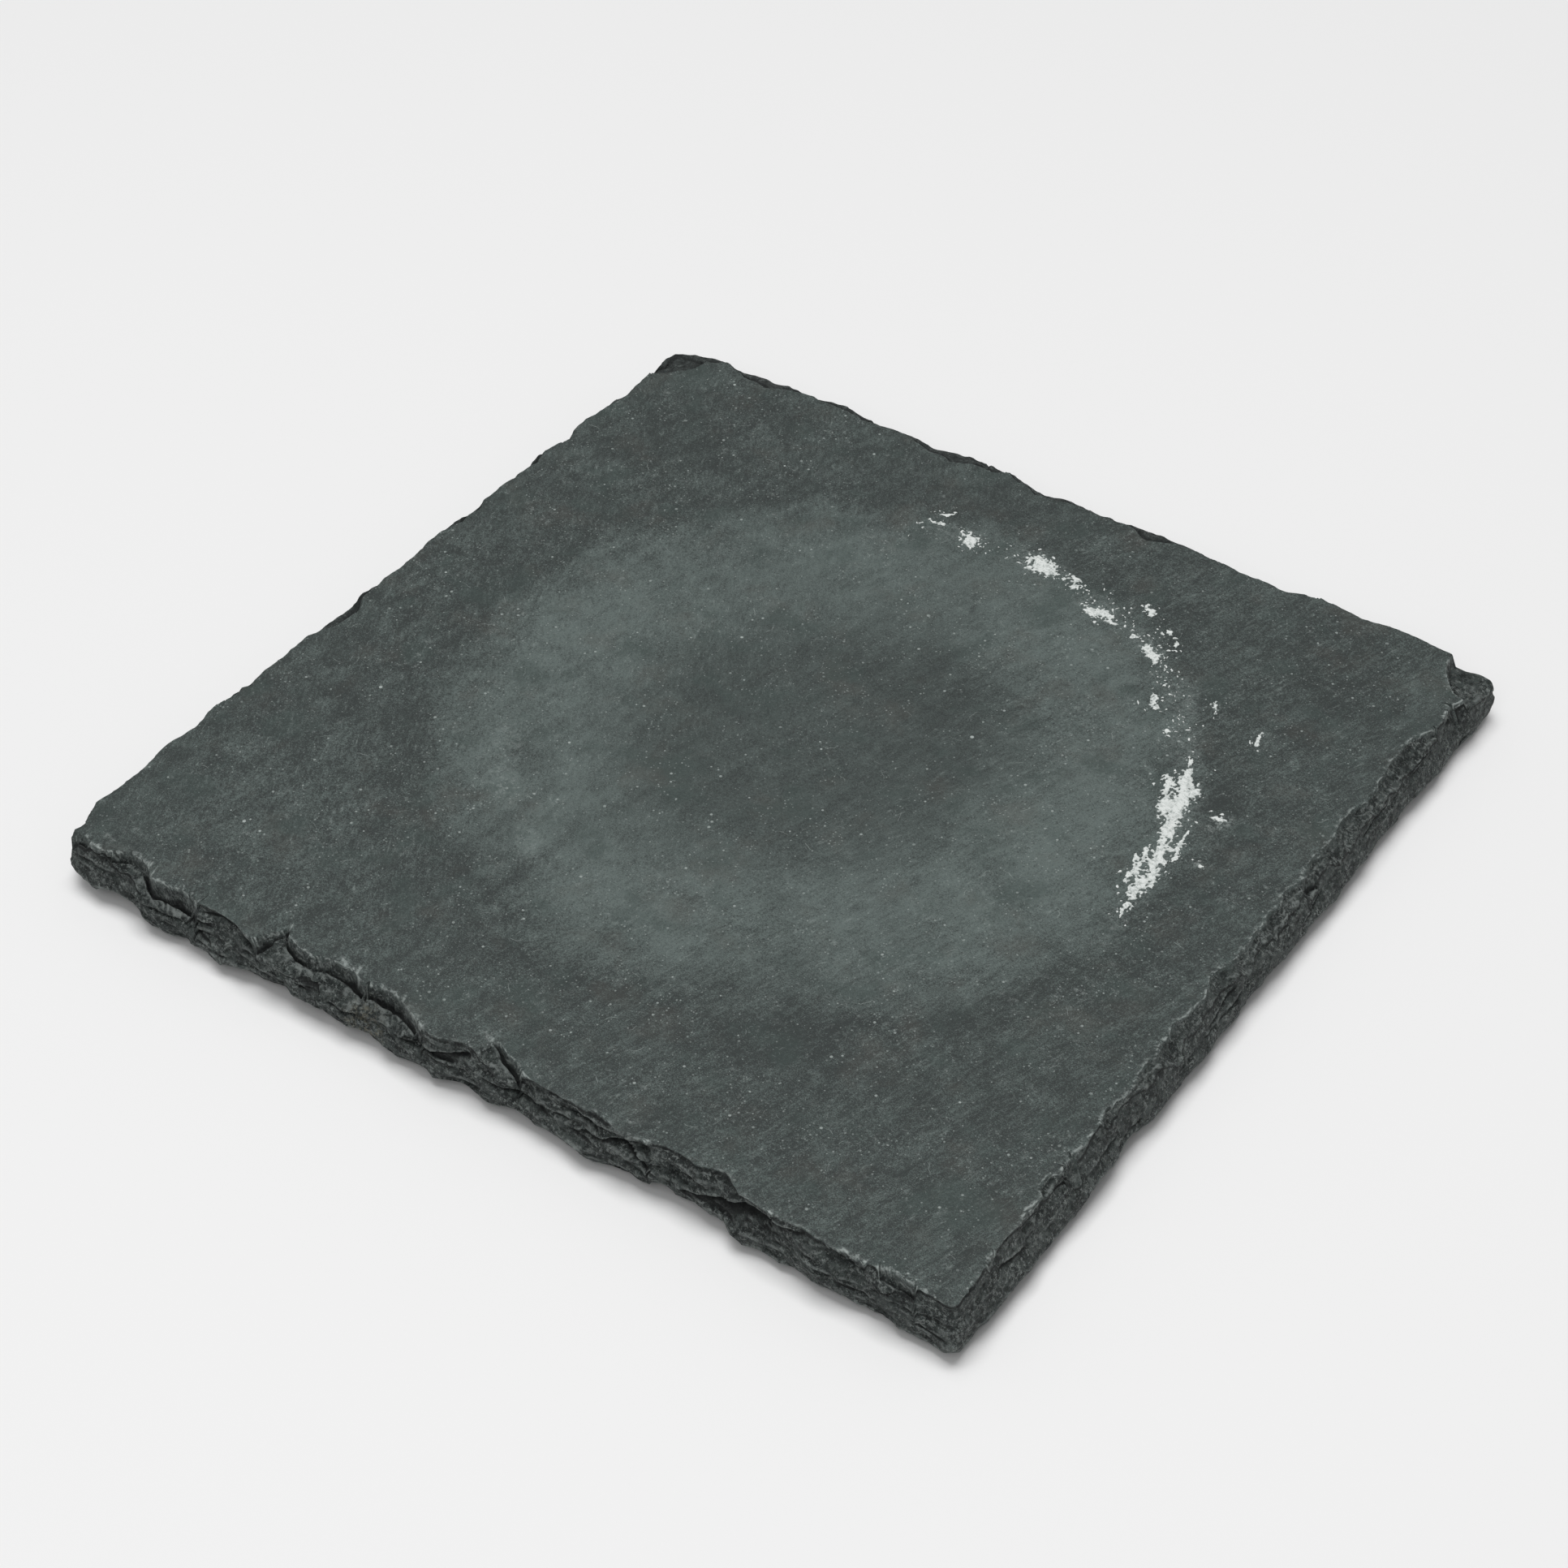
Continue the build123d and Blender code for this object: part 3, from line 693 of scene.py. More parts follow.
    def corner_depth(self, x: np.ndarray, y: np.ndarray) -> np.ndarray:
        """How far the broken corners lie below the top.

        Args:
            x: Places across the slab, mm.
            y: Places along the slab, mm.

        Returns:
            The depth at each place, mm.
        """
        wx = x + 0.22 * self.noise.at(x, y, 2.0)
        wy = y + 0.22 * self.noise.at(x + 90, y, 2.0)
        depth = np.zeros(np.broadcast(x, y).shape)
        for scar in CORNER_SCARS:
            inside = scar.radius - np.hypot(wx - scar.x, wy - scar.y)
            rise = np.clip(inside / scar.run, 0.0, 1.0) * (0.75 + 0.25 * np.clip(inside / 4.0, 0.0, 1.0))
            depth = np.maximum(depth, scar.reach * rise)
        return depth

    def terraced(self, depth: np.ndarray, x: np.ndarray, y: np.ndarray) -> np.ndarray:
        """Breaks a depth into the thin layers that slate splits along.

        Args:
            depth: How far the stone is broken down, mm.
            x: Places across the slab, mm.
            y: Places along the slab, mm.

        Returns:
            The stepped depth, mm.
        """
        layer = 0.42
        shifted = depth / layer + 0.35 * self.noise_b.at(x, y, 6.0)
        step = np.floor(shifted)
        rise = ease((shifted - step) * 1.9 - 0.45)
        stepped = (step + rise - 0.35 * self.noise_b.at(x, y, 6.0)) * layer
        return np.where(depth > 0.08, 0.45 * depth + 0.55 * np.maximum(stepped, 0.05), depth)

    def top_height(self, x: np.ndarray, y: np.ndarray) -> tuple[np.ndarray, np.ndarray, np.ndarray]:
        """The riven face.

        Args:
            x: Places across the slab, mm.
            y: Places along the slab, mm.

        Returns:
            Its height at each place, how far that is below the unbroken face, and how far
            the place lies in a crack, mm.
        """
        swell = 0.09 * self.noise.at(x, y, 31.0) + 0.035 * self.noise.at(x, y, 9.0)
        flaked, notch = self.scar_depth(x, y, TOP_SCARS)
        ledge, crack = self.ledge_depth(x, y)
        crack = np.where(ledge > flaked, crack, notch)
        depth = np.maximum(np.maximum(flaked, ledge), self.corner_depth(x, y))
        broken = ease(depth / 0.12)
        depth = self.terraced(depth, x, y)
        grit = self.noise.layers(x, y, 1.1, 3) * 0.05
        grit = grit + 0.42 * self.noise_b.bowls(x, y, 2.9, 2.2) + 0.12 * self.noise.bowls(x, y, 1.2, 0.9)
        grit = grit * broken
        fallen = np.maximum(depth - np.minimum(grit, 0.5 * depth), 0.0) + crack
        return self.top - 0.05 + swell - fallen, depth, crack

    def under_height(self, x: np.ndarray, y: np.ndarray) -> tuple[np.ndarray, np.ndarray]:
        """The under face, flat where the feet are stuck on.

        Args:
            x: Places across the slab, mm.
            y: Places along the slab, mm.

        Returns:
            Its height at each place, and how far flakes have raised it, mm.
        """
        swell = 0.05 * ease(self.noise_b.at(x, y, 12.0))
        depth, _ = self.scar_depth(x, y, BOTTOM_SCARS)
        broken = ease(depth / 0.12)
        grit = self.noise_b.layers(x, y, 1.1, 3) * 0.05 * broken
        return self.bottom + swell + depth + grit, depth

    # ----- sides

    def wall(
        self, points: np.ndarray, owners: np.ndarray, heights: np.ndarray
    ) -> tuple[np.ndarray, np.ndarray]:
        """How far the sides stand out from the outline.

        Args:
            points: The outline.
            owners: Which side each point belongs to.
            heights: The heights to work out, mm.

        Returns:
            That, and how far cracks go in: one row for each point and one column for each
            height, mm.
        """
        count = len(points)
        cracks = np.zeros((count, len(heights)))
        run = np.arange(count) * (2 * (self.half_x + self.half_y) * 2 / count)
        share = (heights - self.bottom) / self.thick
        s, z = np.meshgrid(run, heights, indexing="ij")
        sides = list(TOP_SCARS)
        lean = np.array([self.lean[sides[k]] for k in owners])
        wave = np.array([self.wave(sides[k], p) for k, p in zip(owners, points)])
        lean, wave = self.blurred(lean, 30), self.blurred(wave, 2)
        foot = -0.35 * ease(1.0 - share / 0.22)
        out = -lean[:, None] * ease((share - 0.1) / 0.95) + foot
        out = out + wave[:, None] * np.where(owners[:, None] == 0, 1.0, 0.25 + 0.75 * share)
        slant = z + 0.22 * s
        layers = self.blurred(np.choose(owners, (0.8, 0.4, 0.3, 0.3)), 20)[:, None]
        out = out + 0.14 * self.noise.at(s, z * 1.6, 5.1) + layers * self.layer_edges(s, z)
        chunks = 0.95 * self.noise.bowls(s, slant + 40, 5.2, 2.8) + 0.36 * self.noise_b.bowls(s, z, 1.9, 1.1)
        out = out + chunks * self.blurred(np.choose(owners, (1.0, 0.4, 0.12, 0.12)), 20)[:, None]
        out = out + 0.12 * self.noise.bowls(s, z, 0.7, 0.45) + 0.03 * self.noise_b.layers(s, z * 1.5, 0.6, 2)
        for number, side in enumerate(sides):
            mine = np.where(owners == number)[0]
            along = points[mine][:, 0 if side.value[1] else 1]
            for cleft in CLEFTS[side]:
                cracks[mine] += self.cleft_depth(cleft, along, heights)
        return out - cracks, cracks

    @staticmethod
    def wave(side: Side, point: np.ndarray) -> float:
        """How far a side's edge waves out at a point of the outline.

        Args:
            side: The side.
            point: The point.

        Returns:
            The distance, mm.
        """
        along = point[0] if side.value[1] else point[1]
        places, sizes = zip(*WAVES[side])
        return float(np.interp(along, places, sizes))

    @staticmethod
    def blurred(values: np.ndarray, reach: int) -> np.ndarray:
        """Values round the closed outline, averaged over their neighbours.

        Args:
            values: One value for each column.
            reach: How many neighbours on either side count.

        Returns:
            The averages.
        """
        total = np.zeros_like(values)
        for step in range(-reach, reach + 1):
            total += np.roll(values, step)
        return total / (2 * reach + 1)

    def layer_edges(self, s: np.ndarray, z: np.ndarray) -> np.ndarray:
        """The edges of the stone's thin layers, each broken off at its own place.

        Args:
            s: Places round the outline, mm.
            z: Heights, mm.

        Returns:
            How far the stone stands out at each, mm.
        """
        bend = 0.28 * self.noise.at(s, s * 0, 17.0)
        warped = z - self.bottom + bend + 0.07 * self.noise.at(s, s * 0 + 50, 3.0)
        chances = np.random.default_rng(SEED + 5)
        edges = np.cumsum(chances.uniform(0.3, 0.8, 16)) - 0.6
        total = np.zeros_like(s)
        for number, edge in enumerate(edges):
            size = chances.uniform(2.2, 6.0)
            offset = self.noise_b.at(s, s * 0 + 11.0 * number, size) * 0.26
            chip = np.minimum(self.noise.at(s, s * 0 + 7.0 * number, 2.6) + 0.45, 0.0) * 0.8
            above = ease((warped - edge) / 0.07 + 0.5)
            beyond = edges[number + 1] if number + 1 < len(edges) else 99.0
            past = ease((warped - beyond) / 0.07 + 0.5)
            total += (above - past) * (offset + chip)
        return total

    def cleft_depth(self, cleft: Cleft, along: np.ndarray, heights: np.ndarray) -> np.ndarray:
        """How far a cleft goes into a side.

        Args:
            cleft: The crack.
            along: Places along the side, mm.
            heights: Heights, mm.

        Returns:
            One row for each place and one column for each height, mm.
        """
        places, levels = map(np.array, zip(*cleft.points))
        wobble = 0.10 * self.noise_b.at(along, along * 0, 1.3)
        level = np.interp(along, places, levels) + wobble
        share = (along - places[0]) / (places[-1] - places[0])
        strength = np.sqrt(np.clip(4.0 * share * (1.0 - share), 0.0, 1.0))
        strength = strength * (0.8 + 0.3 * self.noise.at(along, along * 0 + 20, 1.7))
        gap = heights[None, :] - level[:, None]
        shape = np.where(gap > 0, bell(gap, 0.0, 0.07), np.exp(-np.abs(gap) / cleft.below))
        return cleft.depth * strength[:, None] * shape

    # ----- mesh

    def border(self) -> tuple[np.ndarray, dict[str, np.ndarray]]:
        """The finely modelled border: part of the top, the sides and part of the under face.

        Returns:
            Its vertices, row by row from the top inwards edge to the under one, and for each vertex how
            broken the stone is there, how near a lip it lies (pale wear and painted highlight) and how much
            painted shade its cracks, folds and recesses get.
        """
        points, owners = self.outline()
        ways = points - self.inner(points)
        reach = np.hypot(*ways.T)
        columns = Columns(points, owners, ways / reach[:, None], reach)
        heights = np.linspace(self.bottom - 0.4, self.top + 0.4, 150)
        wall, clefts = (Relief(heights, table) for table in self.wall(points, owners, heights))
        top_lip = self.lip(columns, wall, self.top_height)
        under_lip = self.lip(columns, wall, self.under_height)
        top = self.top_strip(columns, top_lip)
        side = self.side_strip(columns, wall, clefts, top_lip, under_lip)
        under = self.under_strip(columns, under_lip)

        def closed(key: str) -> np.ndarray:
            """One thing about the three strips as one grid, its first column repeated at its end."""
            grid = np.concatenate([strip[key] for strip in (top, side, under)], axis=1)
            return np.concatenate((grid, grid[:1]), axis=0).swapaxes(0, 1)

        notes = {key: closed(key).ravel() for key in ("broken", "lip", "crack")}
        return closed("place").reshape(-1, 3), notes

    @staticmethod
    def lip(columns: Columns, wall: Relief, face: Callable) -> np.ndarray:
        """How far out a face meets the side in each column.

        Args:
            columns: The border's columns.
            wall: The sides' offset from the outline.
            face: Gives the height at a place.

        Returns:
            The distance out from the outline, mm.
        """
        tries = np.linspace(-5.6, 1.3, 277)
        d = np.broadcast_to(tries, (len(columns.points), len(tries)))
        past = d - wall.at(face(*columns.place(d))[0])
        first = np.argmax(past >= 0, axis=1)
        rows = np.arange(len(past))
        before, after = past[rows, first - 1], past[rows, first]
        part = -before / np.maximum(after - before, 1e-9)
        return tries[first - 1] + part * (tries[1] - tries[0])

    @staticmethod
    def run(*steps: np.ndarray) -> np.ndarray:
        """Length run along each column, from its steps along two axes."""
        lengths = np.hypot(*steps)
        return np.concatenate((np.zeros((len(lengths), 1)), np.cumsum(lengths, axis=1)), axis=1)

    @staticmethod
    def spread(shares: np.ndarray, run: np.ndarray, values: np.ndarray) -> np.ndarray:
        """Values of each column, looked up at shares of the length run along it."""
        return np.stack([np.interp(shares * r[-1], r, v) for r, v in zip(run, values)])

    def top_strip(self, columns: Columns, lip: np.ndarray) -> dict[str, np.ndarray]:
        """The border's part of the riven face, with its rows drawn to where it is steep.

        Args:
            columns: The border's columns.
            lip: How far out the face meets the side, mm.

        Returns:
            The places, and how broken, near a lip and near a crack each is; the crack share is painted shade
            and the lip share pale wear and painted highlight.
        """
        share = 1.0 - (1.0 - np.linspace(0.0, 1.0, 130)) ** 1.15
        d = -columns.reach[:, None] + (lip + columns.reach)[:, None] * share
        z = self.top_height(*columns.place(d))[0]
        run = self.run(np.diff(d, axis=1) * 0.8, np.diff(z, axis=1) * 2.2)
        for _ in range(3):
            run = (np.roll(run, 1, axis=0) + run + np.roll(run, -1, axis=0)) / 3
        d = self.spread(np.linspace(0.0, 1.0, self.top_rows), run, d)
        x, y = columns.place(d)
        z, depth, dark = self.top_height(x, y)
        # Painted shade: the edge bands along the back and the left side get a dark crack share, and less pale
        # rock and lip colour
        near_corner = (columns.points[:, 0] > 43.0) & (columns.points[:, 1] > 0.0)
        back_or_left = (columns.owners > 1) & ~near_corner
        hidden = self.blurred(np.where(back_or_left, 1.0, 0.0), 6)[:, None]
        painted_edge_shade = 0.62 * hidden * ease(depth / 0.14)
        return {
            "place": np.stack((x, y, z), -1),
            "broken": ease((depth - 0.06) / 0.25) * (1.0 - 0.55 * hidden),
            "lip": self.crest(d - lip[:, None], z) * (1.0 - 0.8 * hidden),
            "crack": np.clip(0.5 * self.painted_fold_shade(z) + 2.2 * dark + painted_edge_shade, 0.0, 1.0),
        }

    def side_strip(
        self, columns: Columns, wall: Relief, clefts: Relief, top_lip: np.ndarray, under_lip: np.ndarray
    ) -> dict[str, np.ndarray]:
        """The sides, from just below the top's lip to the under face's.

        Args:
            columns: The border's columns.
            wall: The sides' offset from the outline.
            clefts: How far cracks go into the sides.
            top_lip: How far out the top meets the side, mm.
            under_lip: How far out the under face does, mm.

        Returns:
            The places, and how broken, near a lip and near a crack each is; the crack share is painted shade
            and the lip share pale wear and painted highlight.
        """
        start = self.top_height(*columns.place(top_lip[:, None]))[0][:, 0]
        end = self.under_height(*columns.place(under_lip[:, None]))[0][:, 0]
        z = start[:, None] + (end - start)[:, None] * np.linspace(0.0, 1.0, 140)
        d = wall.at(z)
        d[:, 0], d[:, -1] = top_lip, under_lip
        run = self.run(np.diff(z, axis=1), np.diff(d, axis=1) * 0.8)
        targets = np.linspace(0.0, 1.0, self.wall_rows + 1)[1:]
        d, z = self.spread(targets, run, d), self.spread(targets, run, z)
        x, y = columns.place(d)
        smooth = (np.roll(d, 2, axis=1) + np.roll(d, -2, axis=1)) / 2
        # Painted shade: the crack share grows in clefts and where a row lies further in than its neighbours
        crack = np.clip(clefts.at(z) / 0.5, 0.0, 1.0) + np.clip((smooth - d) / 0.2, 0.0, 0.7)
        return {
            "place": np.stack((x, y, z), -1),
            "broken": np.ones_like(d),
            # Pale on crests that stand out: partly wear, partly painted highlight
            "lip": np.clip((d - smooth) / 0.12, 0.0, 1.0) * 0.7,
            "crack": crack,
        }

    def under_strip(self, columns: Columns, lip: np.ndarray) -> dict[str, np.ndarray]:
        """The border's part of the under face.

        Args:
            columns: The border's columns.
            lip: How far out the face meets the side, mm.

        Returns:
            The places, and how broken, near a lip and near a crack each is.
        """
        share = (np.linspace(0.0, 1.0, self.under_rows + 1)[1:]) ** 1.3
        d = lip[:, None] - (lip + columns.reach)[:, None] * share
        x, y = columns.place(d)
        z, depth = self.under_height(x, y)
        none = np.zeros_like(z)
        broken = ease((depth - 0.06) / 0.25)
        return {"place": np.stack((x, y, z), -1), "broken": broken, "lip": none, "crack": none}

    @staticmethod
    def crest(inside: np.ndarray, z: np.ndarray) -> np.ndarray:
        """How much each place on the top stands on a lip, which the material paints pale, partly wear and
        partly painted highlight.

        Args:
            inside: How far each lies outside the lip, less than nothing inside it, mm.
            z: The heights along each column, mm.

        Returns:
            Shares of about 0 to 1.
        """
        curve = np.zeros_like(z)
        curve[:, 1:-1] = z[:, 1:-1] - (z[:, :-2] + z[:, 2:]) / 2
        return np.clip(curve / 0.10, 0.0, 0.7) + np.exp(inside / 0.5) * 0.45

    @staticmethod
    def painted_fold_shade(z: np.ndarray) -> np.ndarray:
        """How much each place on the top lies in a fold, for the painted shade there.

        Args:
            z: The heights along each column, mm.

        Returns:
            Shares from 0 to 0.75.
        """
        curve = np.zeros_like(z)
        curve[:, 1:-1] = (z[:, :-2] + z[:, 2:]) / 2 - z[:, 1:-1]
        return np.clip(curve / 0.22, 0.0, 0.75)

    def middle(self, cells: int, face: Callable) -> np.ndarray:
        """The plain middle of a face, inside the border.

        Args:
            cells: Faces along each side.
            face: Gives the height at a place.

        Returns:
            The vertices, row by row, mm.
        """
        points, _ = self.outline()
        ring = self.inner(points)[:: len(points) // (4 * cells)]
        front, right = ring[: cells + 1], ring[cells : 2 * cells + 1]
        back, left = ring[2 * cells : 3 * cells + 1][::-1], np.vstack((ring[3 * cells :], ring[:1]))[::-1]
        u = np.linspace(0, 1, cells + 1)[None, :, None]
        v = np.linspace(0, 1, cells + 1)[:, None, None]
        rails = front[None] * (1 - v) + back[None] * v + left[:, None] * (1 - u) + right[:, None] * u
        corners = (
            front[0] * (1 - u) * (1 - v) + front[-1] * u * (1 - v) + back[0] * (1 - u) * v + back[-1] * u * v
        )
        flat = (rails - corners).reshape(-1, 2)
        inset = flat * (1.0 - self.gap / self.half_x)
        return np.column_stack((inset, face(*inset.T)[0]))

    def build(self) -> bpy.types.Object:
        """Makes the stone as one closed mesh.

        Returns:
            The finished piece.
        """
        places, notes = self.border()
        across = 4 * self.columns
        rows = self.top_rows + self.wall_rows + self.under_rows - 1
        stone = add_grid(self.name, across, rows, places)
        for key, values in notes.items():
            store(stone, key, values)
        store(stone, "sunk", np.zeros(len(places)))
        for cells, face, sunk in (
            (self.top_cells, self.top_height, self.sink),
            (self.under_cells, self.under_height, -self.sink),
        ):
            spots = self.middle(cells, face) - np.array((0.0, 0.0, sunk))
            piece = add_grid("middle", cells, cells, spots)
            for key in notes:
                store(piece, key, np.zeros(len(spots)))
            store(piece, "sunk", np.full(len(spots), sunk))
            piece.select_set(True)
            stone.select_set(True)
            bpy.context.view_layer.objects.active = stone
            bpy.ops.object.join()
        take(stone)
        bpy.ops.object.mode_set(mode="EDIT")
        bpy.ops.mesh.select_all(action="SELECT")
        bpy.ops.mesh.remove_doubles(threshold=0.0005 * MM)
        for above in (True, False):
            self.bridge_gap(stone, above)
        bpy.ops.object.mode_set(mode="OBJECT")
        self.raise_sunk(stone)
        bpy.ops.object.mode_set(mode="EDIT")
        bpy.ops.mesh.select_all(action="SELECT")
        bpy.ops.mesh.normals_make_consistent(inside=False)
        if bmesh.from_edit_mesh(stone.data).calc_volume(signed=True) < 0:
            bpy.ops.mesh.flip_normals()
        bpy.ops.object.mode_set(mode="OBJECT")
        bpy.ops.object.shade_smooth_by_angle(angle=math.radians(38))
        return stone

    def bridge_gap(self, stone: bpy.types.Object, above: bool) -> None:
        """Closes the gap between the border and the middle of a face.

        Args:
            stone: The stone, in edit mode.
            above: Whether the face is the top, and not the under face.
        """
        bpy.ops.mesh.select_mode(type="EDGE")
        bpy.ops.mesh.select_all(action="DESELECT")
        half_way = (self.bottom + self.top) / 2 * MM
        shape = bmesh.from_edit_mesh(stone.data)
        for edge in shape.edges:
            open_edge = len(edge.link_faces) == 1
            edge.select = open_edge and (edge.verts[0].co.z > half_way) == above
        bmesh.update_edit_mesh(stone.data)
        bpy.ops.mesh.bridge_edge_loops()

    @staticmethod
    def raise_sunk(stone: bpy.types.Object) -> None:
        """Puts the middles back level with the border, once the gaps round them are bridged.

        Args:
            stone: The stone, whose attribute says how far each vertex was sunk, mm.
        """
        count = len(stone.data.vertices)
        places, sunk = np.zeros(3 * count, np.float32), np.zeros(count, np.float32)
        stone.data.vertices.foreach_get("co", places)
        stone.data.attributes["sunk"].data.foreach_get("value", sunk)
        places[2::3] += sunk * MM
        place_vertices(stone, places.reshape(-1, 3) / MM)
        stone.data.attributes.remove(stone.data.attributes["sunk"])


# --------------------------------------------------------------------------- the lime


@dataclass(frozen=True)
class Stroke:
    """A strand of lime: places along it with its half width at each, in mm."""

    points: Sequence[tuple[float, float, float]]


@dataclass(frozen=True)
class Patch:
    """An oval patch of lime: its middle, half sizes in mm and turn in degrees."""

    x: float
    y: float
    long: float
    wide: float
    turn: float = 0.0


STROKES = (
    Stroke((
        (31.4, 20.0, 0.11), (32.1, 18.6, 0.23), (32.6, 17.3, 0.50), (33.4, 15.4, 1.22), (33.8, 13.8, 1.18),
        (34.3, 12.2, 0.77), (34.8, 10.2, 0.50), (35.2, 8.4, 0.45), (35.5, 7.2, 0.50), (36.1, 5.8, 0.77),
        (36.5, 4.2, 0.77), (36.6, 2.6, 0.68), (36.5, 1.2, 0.55), (36.7, 0.2, 0.36), (36.9, -0.9, 0.27),
        (36.7, -2.0, 0.09),
    )),
    Stroke(((36.5, 10.4, 0.09), (36.7, 9.2, 0.25), (36.9, 8.0, 0.25), (37.2, 6.9, 0.11))),
    Stroke(((34.5, 6.4, 0.09), (34.7, 5.2, 0.23), (34.9, 4.0, 0.32), (34.8, 3.0, 0.45), (34.9, 2.4, 0.18))),
    Stroke((
        (31.0, 16.6, 0.11), (31.6, 16.4, 0.27), (32.0, 15.0, 0.32), (32.6, 13.4, 0.45), (33.1, 12.2, 0.32),
    )),
)
PATCHES = (
    Patch(3.4, 38.0, 0.85, 0.75, 20.0),
    Patch(4.8, 37.3, 1.3, 0.85, -20.0),
    Patch(-3.9, 36.9, 0.8, 0.6, -30.0),
    Patch(-3.3, 36.1, 0.4, 0.35),
    Patch(12.8, 34.0, 0.8, 0.5, 10.0),
    Patch(13.8, 34.3, 0.65, 0.55),
    Patch(15.0, 33.4, 0.5, 0.22),
    Patch(20.9, 31.4, 1.1, 0.5, -38.0),
    Patch(17.0, 37.6, 0.85, 0.28, -50.0),
    Patch(9.1, 36.1, 0.42, 0.36),
    Patch(8.2, 37.4, 0.6, 0.25, -5.0),
    Patch(18.1, 33.0, 0.3, 0.2),
    Patch(24.4, 25.8, 0.28, 0.7, 10.0),
    Patch(25.1, 24.6, 0.2, 0.3, 20.0),
    Patch(29.7, 27.9, 0.26, 0.5, 10.0),
    Patch(28.0, 22.3, 0.25, 0.25),
    Patch(35.6, 26.0, 0.12, 0.7, 12.0),
    Patch(37.9, 13.9, 0.5, 0.16, 10.0),
    Patch(39.7, 7.6, 0.3, 0.16),
    Patch(-8.3, 37.5, 0.7, 0.2),
    Patch(-8.0, 39.2, 0.6, 0.18, 40.0),
    Patch(20.6, 35.4, 0.45, 0.2, -40.0),
    Patch(22.0, 33.9, 0.2, 0.4, 20.0),
)


# Boxes of the face that hold all the lime: left, front, right and back edge, mm
LIME_BOXES = (
    (30.2, -3.2, 38.8, 21.0),
    (-10.0, 32.4, 23.0, 40.6),
    (19.2, 21.4, 30.6, 32.4),
    (34.8, 24.6, 36.4, 27.4),
    (39.0, 7.0, 40.4, 8.2),
)


@dataclass
class LimeCrust:
    """Lime that dried out of the wet rings of cups, as a thin broken skin on the stone."""

    slab: SlateSlab
    name: str = "lime_crust"
    cell: float = 0.055         # size of a face, mm
    skin: float = 0.16          # how far each flake goes down into the stone, mm

    def __post_init__(self) -> None:
        """Sets up the crust's own noise and its crumbs."""
        self.noise = Roughness(SEED + 11)
        self.patches = list(PATCHES) + self.crumbs()

    @staticmethod
    def crumbs() -> list[Patch]:
        """Small crumbs, most of them near the larger patches and along the ring.

        Returns:
            The crumbs.
        """
        chance = np.random.default_rng(SEED + 12)
        found = []
        for patch in PATCHES:
            for _ in range(7):
                x, y = chance.normal((patch.x, patch.y), (1.1 * patch.long + 0.3, 1.1 * patch.wide + 0.3))
                size = chance.uniform(0.04, 0.12)
                found.append(Patch(x, y, size * chance.uniform(1.0, 2.2), size, chance.uniform(-90, 90)))
        for stroke in STROKES:
            for x, y, wide in stroke.points:
                for _ in range(6):
                    at = chance.normal((x, y), (wide * 0.5 + 0.2, 0.8))
                    size = chance.uniform(0.05, 0.13)
                    found.append(Patch(*at, size * chance.uniform(1.0, 2.6), size, chance.uniform(50, 120)))
        for _ in range(300):
            turn = math.radians(chance.triangular(-14.0, 60.0, 122.0))
            away = 36.0 + chance.normal(0.0, 1.0)
            size = chance.uniform(0.035, 0.085)
            x, y = 1.0 + away * math.cos(turn), 1.5 + away * math.sin(turn)
            found.append(Patch(x, y, size * chance.uniform(1.0, 2.2), size, chance.uniform(-90, 90)))
        return found

    def thickness(self, x: np.ndarray, y: np.ndarray) -> np.ndarray:
        """How high the lime stands over the stone.

        Args:
            x: Places across the slab, mm.
            y: Places along the slab, mm.

        Returns:
            The height at each place, mm, less than nothing where there is no lime.
        """
        wx = x + 0.22 * self.noise.at(x, y, 1.1)
        wy = y + 0.22 * self.noise.at(x + 70, y, 1.1)
        body = np.full(np.broadcast(x, y).shape, -9.0)
        for stroke in STROKES:
            for (ax, ay, aw), (bx, by, bw) in zip(stroke.points, stroke.points[1:]):
                length = (bx - ax) ** 2 + (by - ay) ** 2
                share = np.clip(((wx - ax) * (bx - ax) + (wy - ay) * (by - ay)) / length, 0.0, 1.0)
                away = np.hypot(wx - ax - share * (bx - ax), wy - ay - share * (by - ay))
                body = np.maximum(body, 1.0 - away / (aw + share * (bw - aw)))
        for patch in self.patches:
            reach = 2.2 * max(patch.long, patch.wide) + 0.4
            near = (np.abs(x - patch.x) < reach) & (np.abs(y - patch.y) < reach)
            if not near.any():
                continue
            turn = math.radians(patch.turn)
            u = (wx[near] - patch.x) * math.cos(turn) + (wy[near] - patch.y) * math.sin(turn)
            v = (wy[near] - patch.y) * math.cos(turn) - (wx[near] - patch.x) * math.sin(turn)
            body[near] = np.maximum(body[near], 1.25 - np.hypot(u / patch.long, v / patch.wide))
        flow = 1.4 * self.noise.at(x + 0.25 * y, y * 0.45, 0.40) + 1.7 * self.noise.at(x, y, 0.19)
        ragged = body + 0.45 * flow - 0.06
        return 0.085 * np.tanh(2.2 * ragged) + 0.012 * self.noise.at(x, y, 0.3)

    def build(self) -> bpy.types.Object:
        """Makes the lime as closed flakes.

        Returns:
            The finished piece.
        """
        sheets = [self.sheet(*box) for box in LIME_BOXES]
        deselect()
        for sheet in sheets:
            sheet.select_set(True)
        bpy.context.view_layer.objects.active = sheets[0]
        bpy.ops.object.join()
        crust = sheets[0]
        crust.name = self.name
        skin = crust.modifiers.new("skin", "SOLIDIFY")
        skin.thickness = self.skin * MM
        skin.offset = -1.0
        bpy.ops.object.modifier_apply(modifier=skin.name)
        bpy.ops.object.shade_smooth_by_angle(angle=math.radians(50))
        return crust

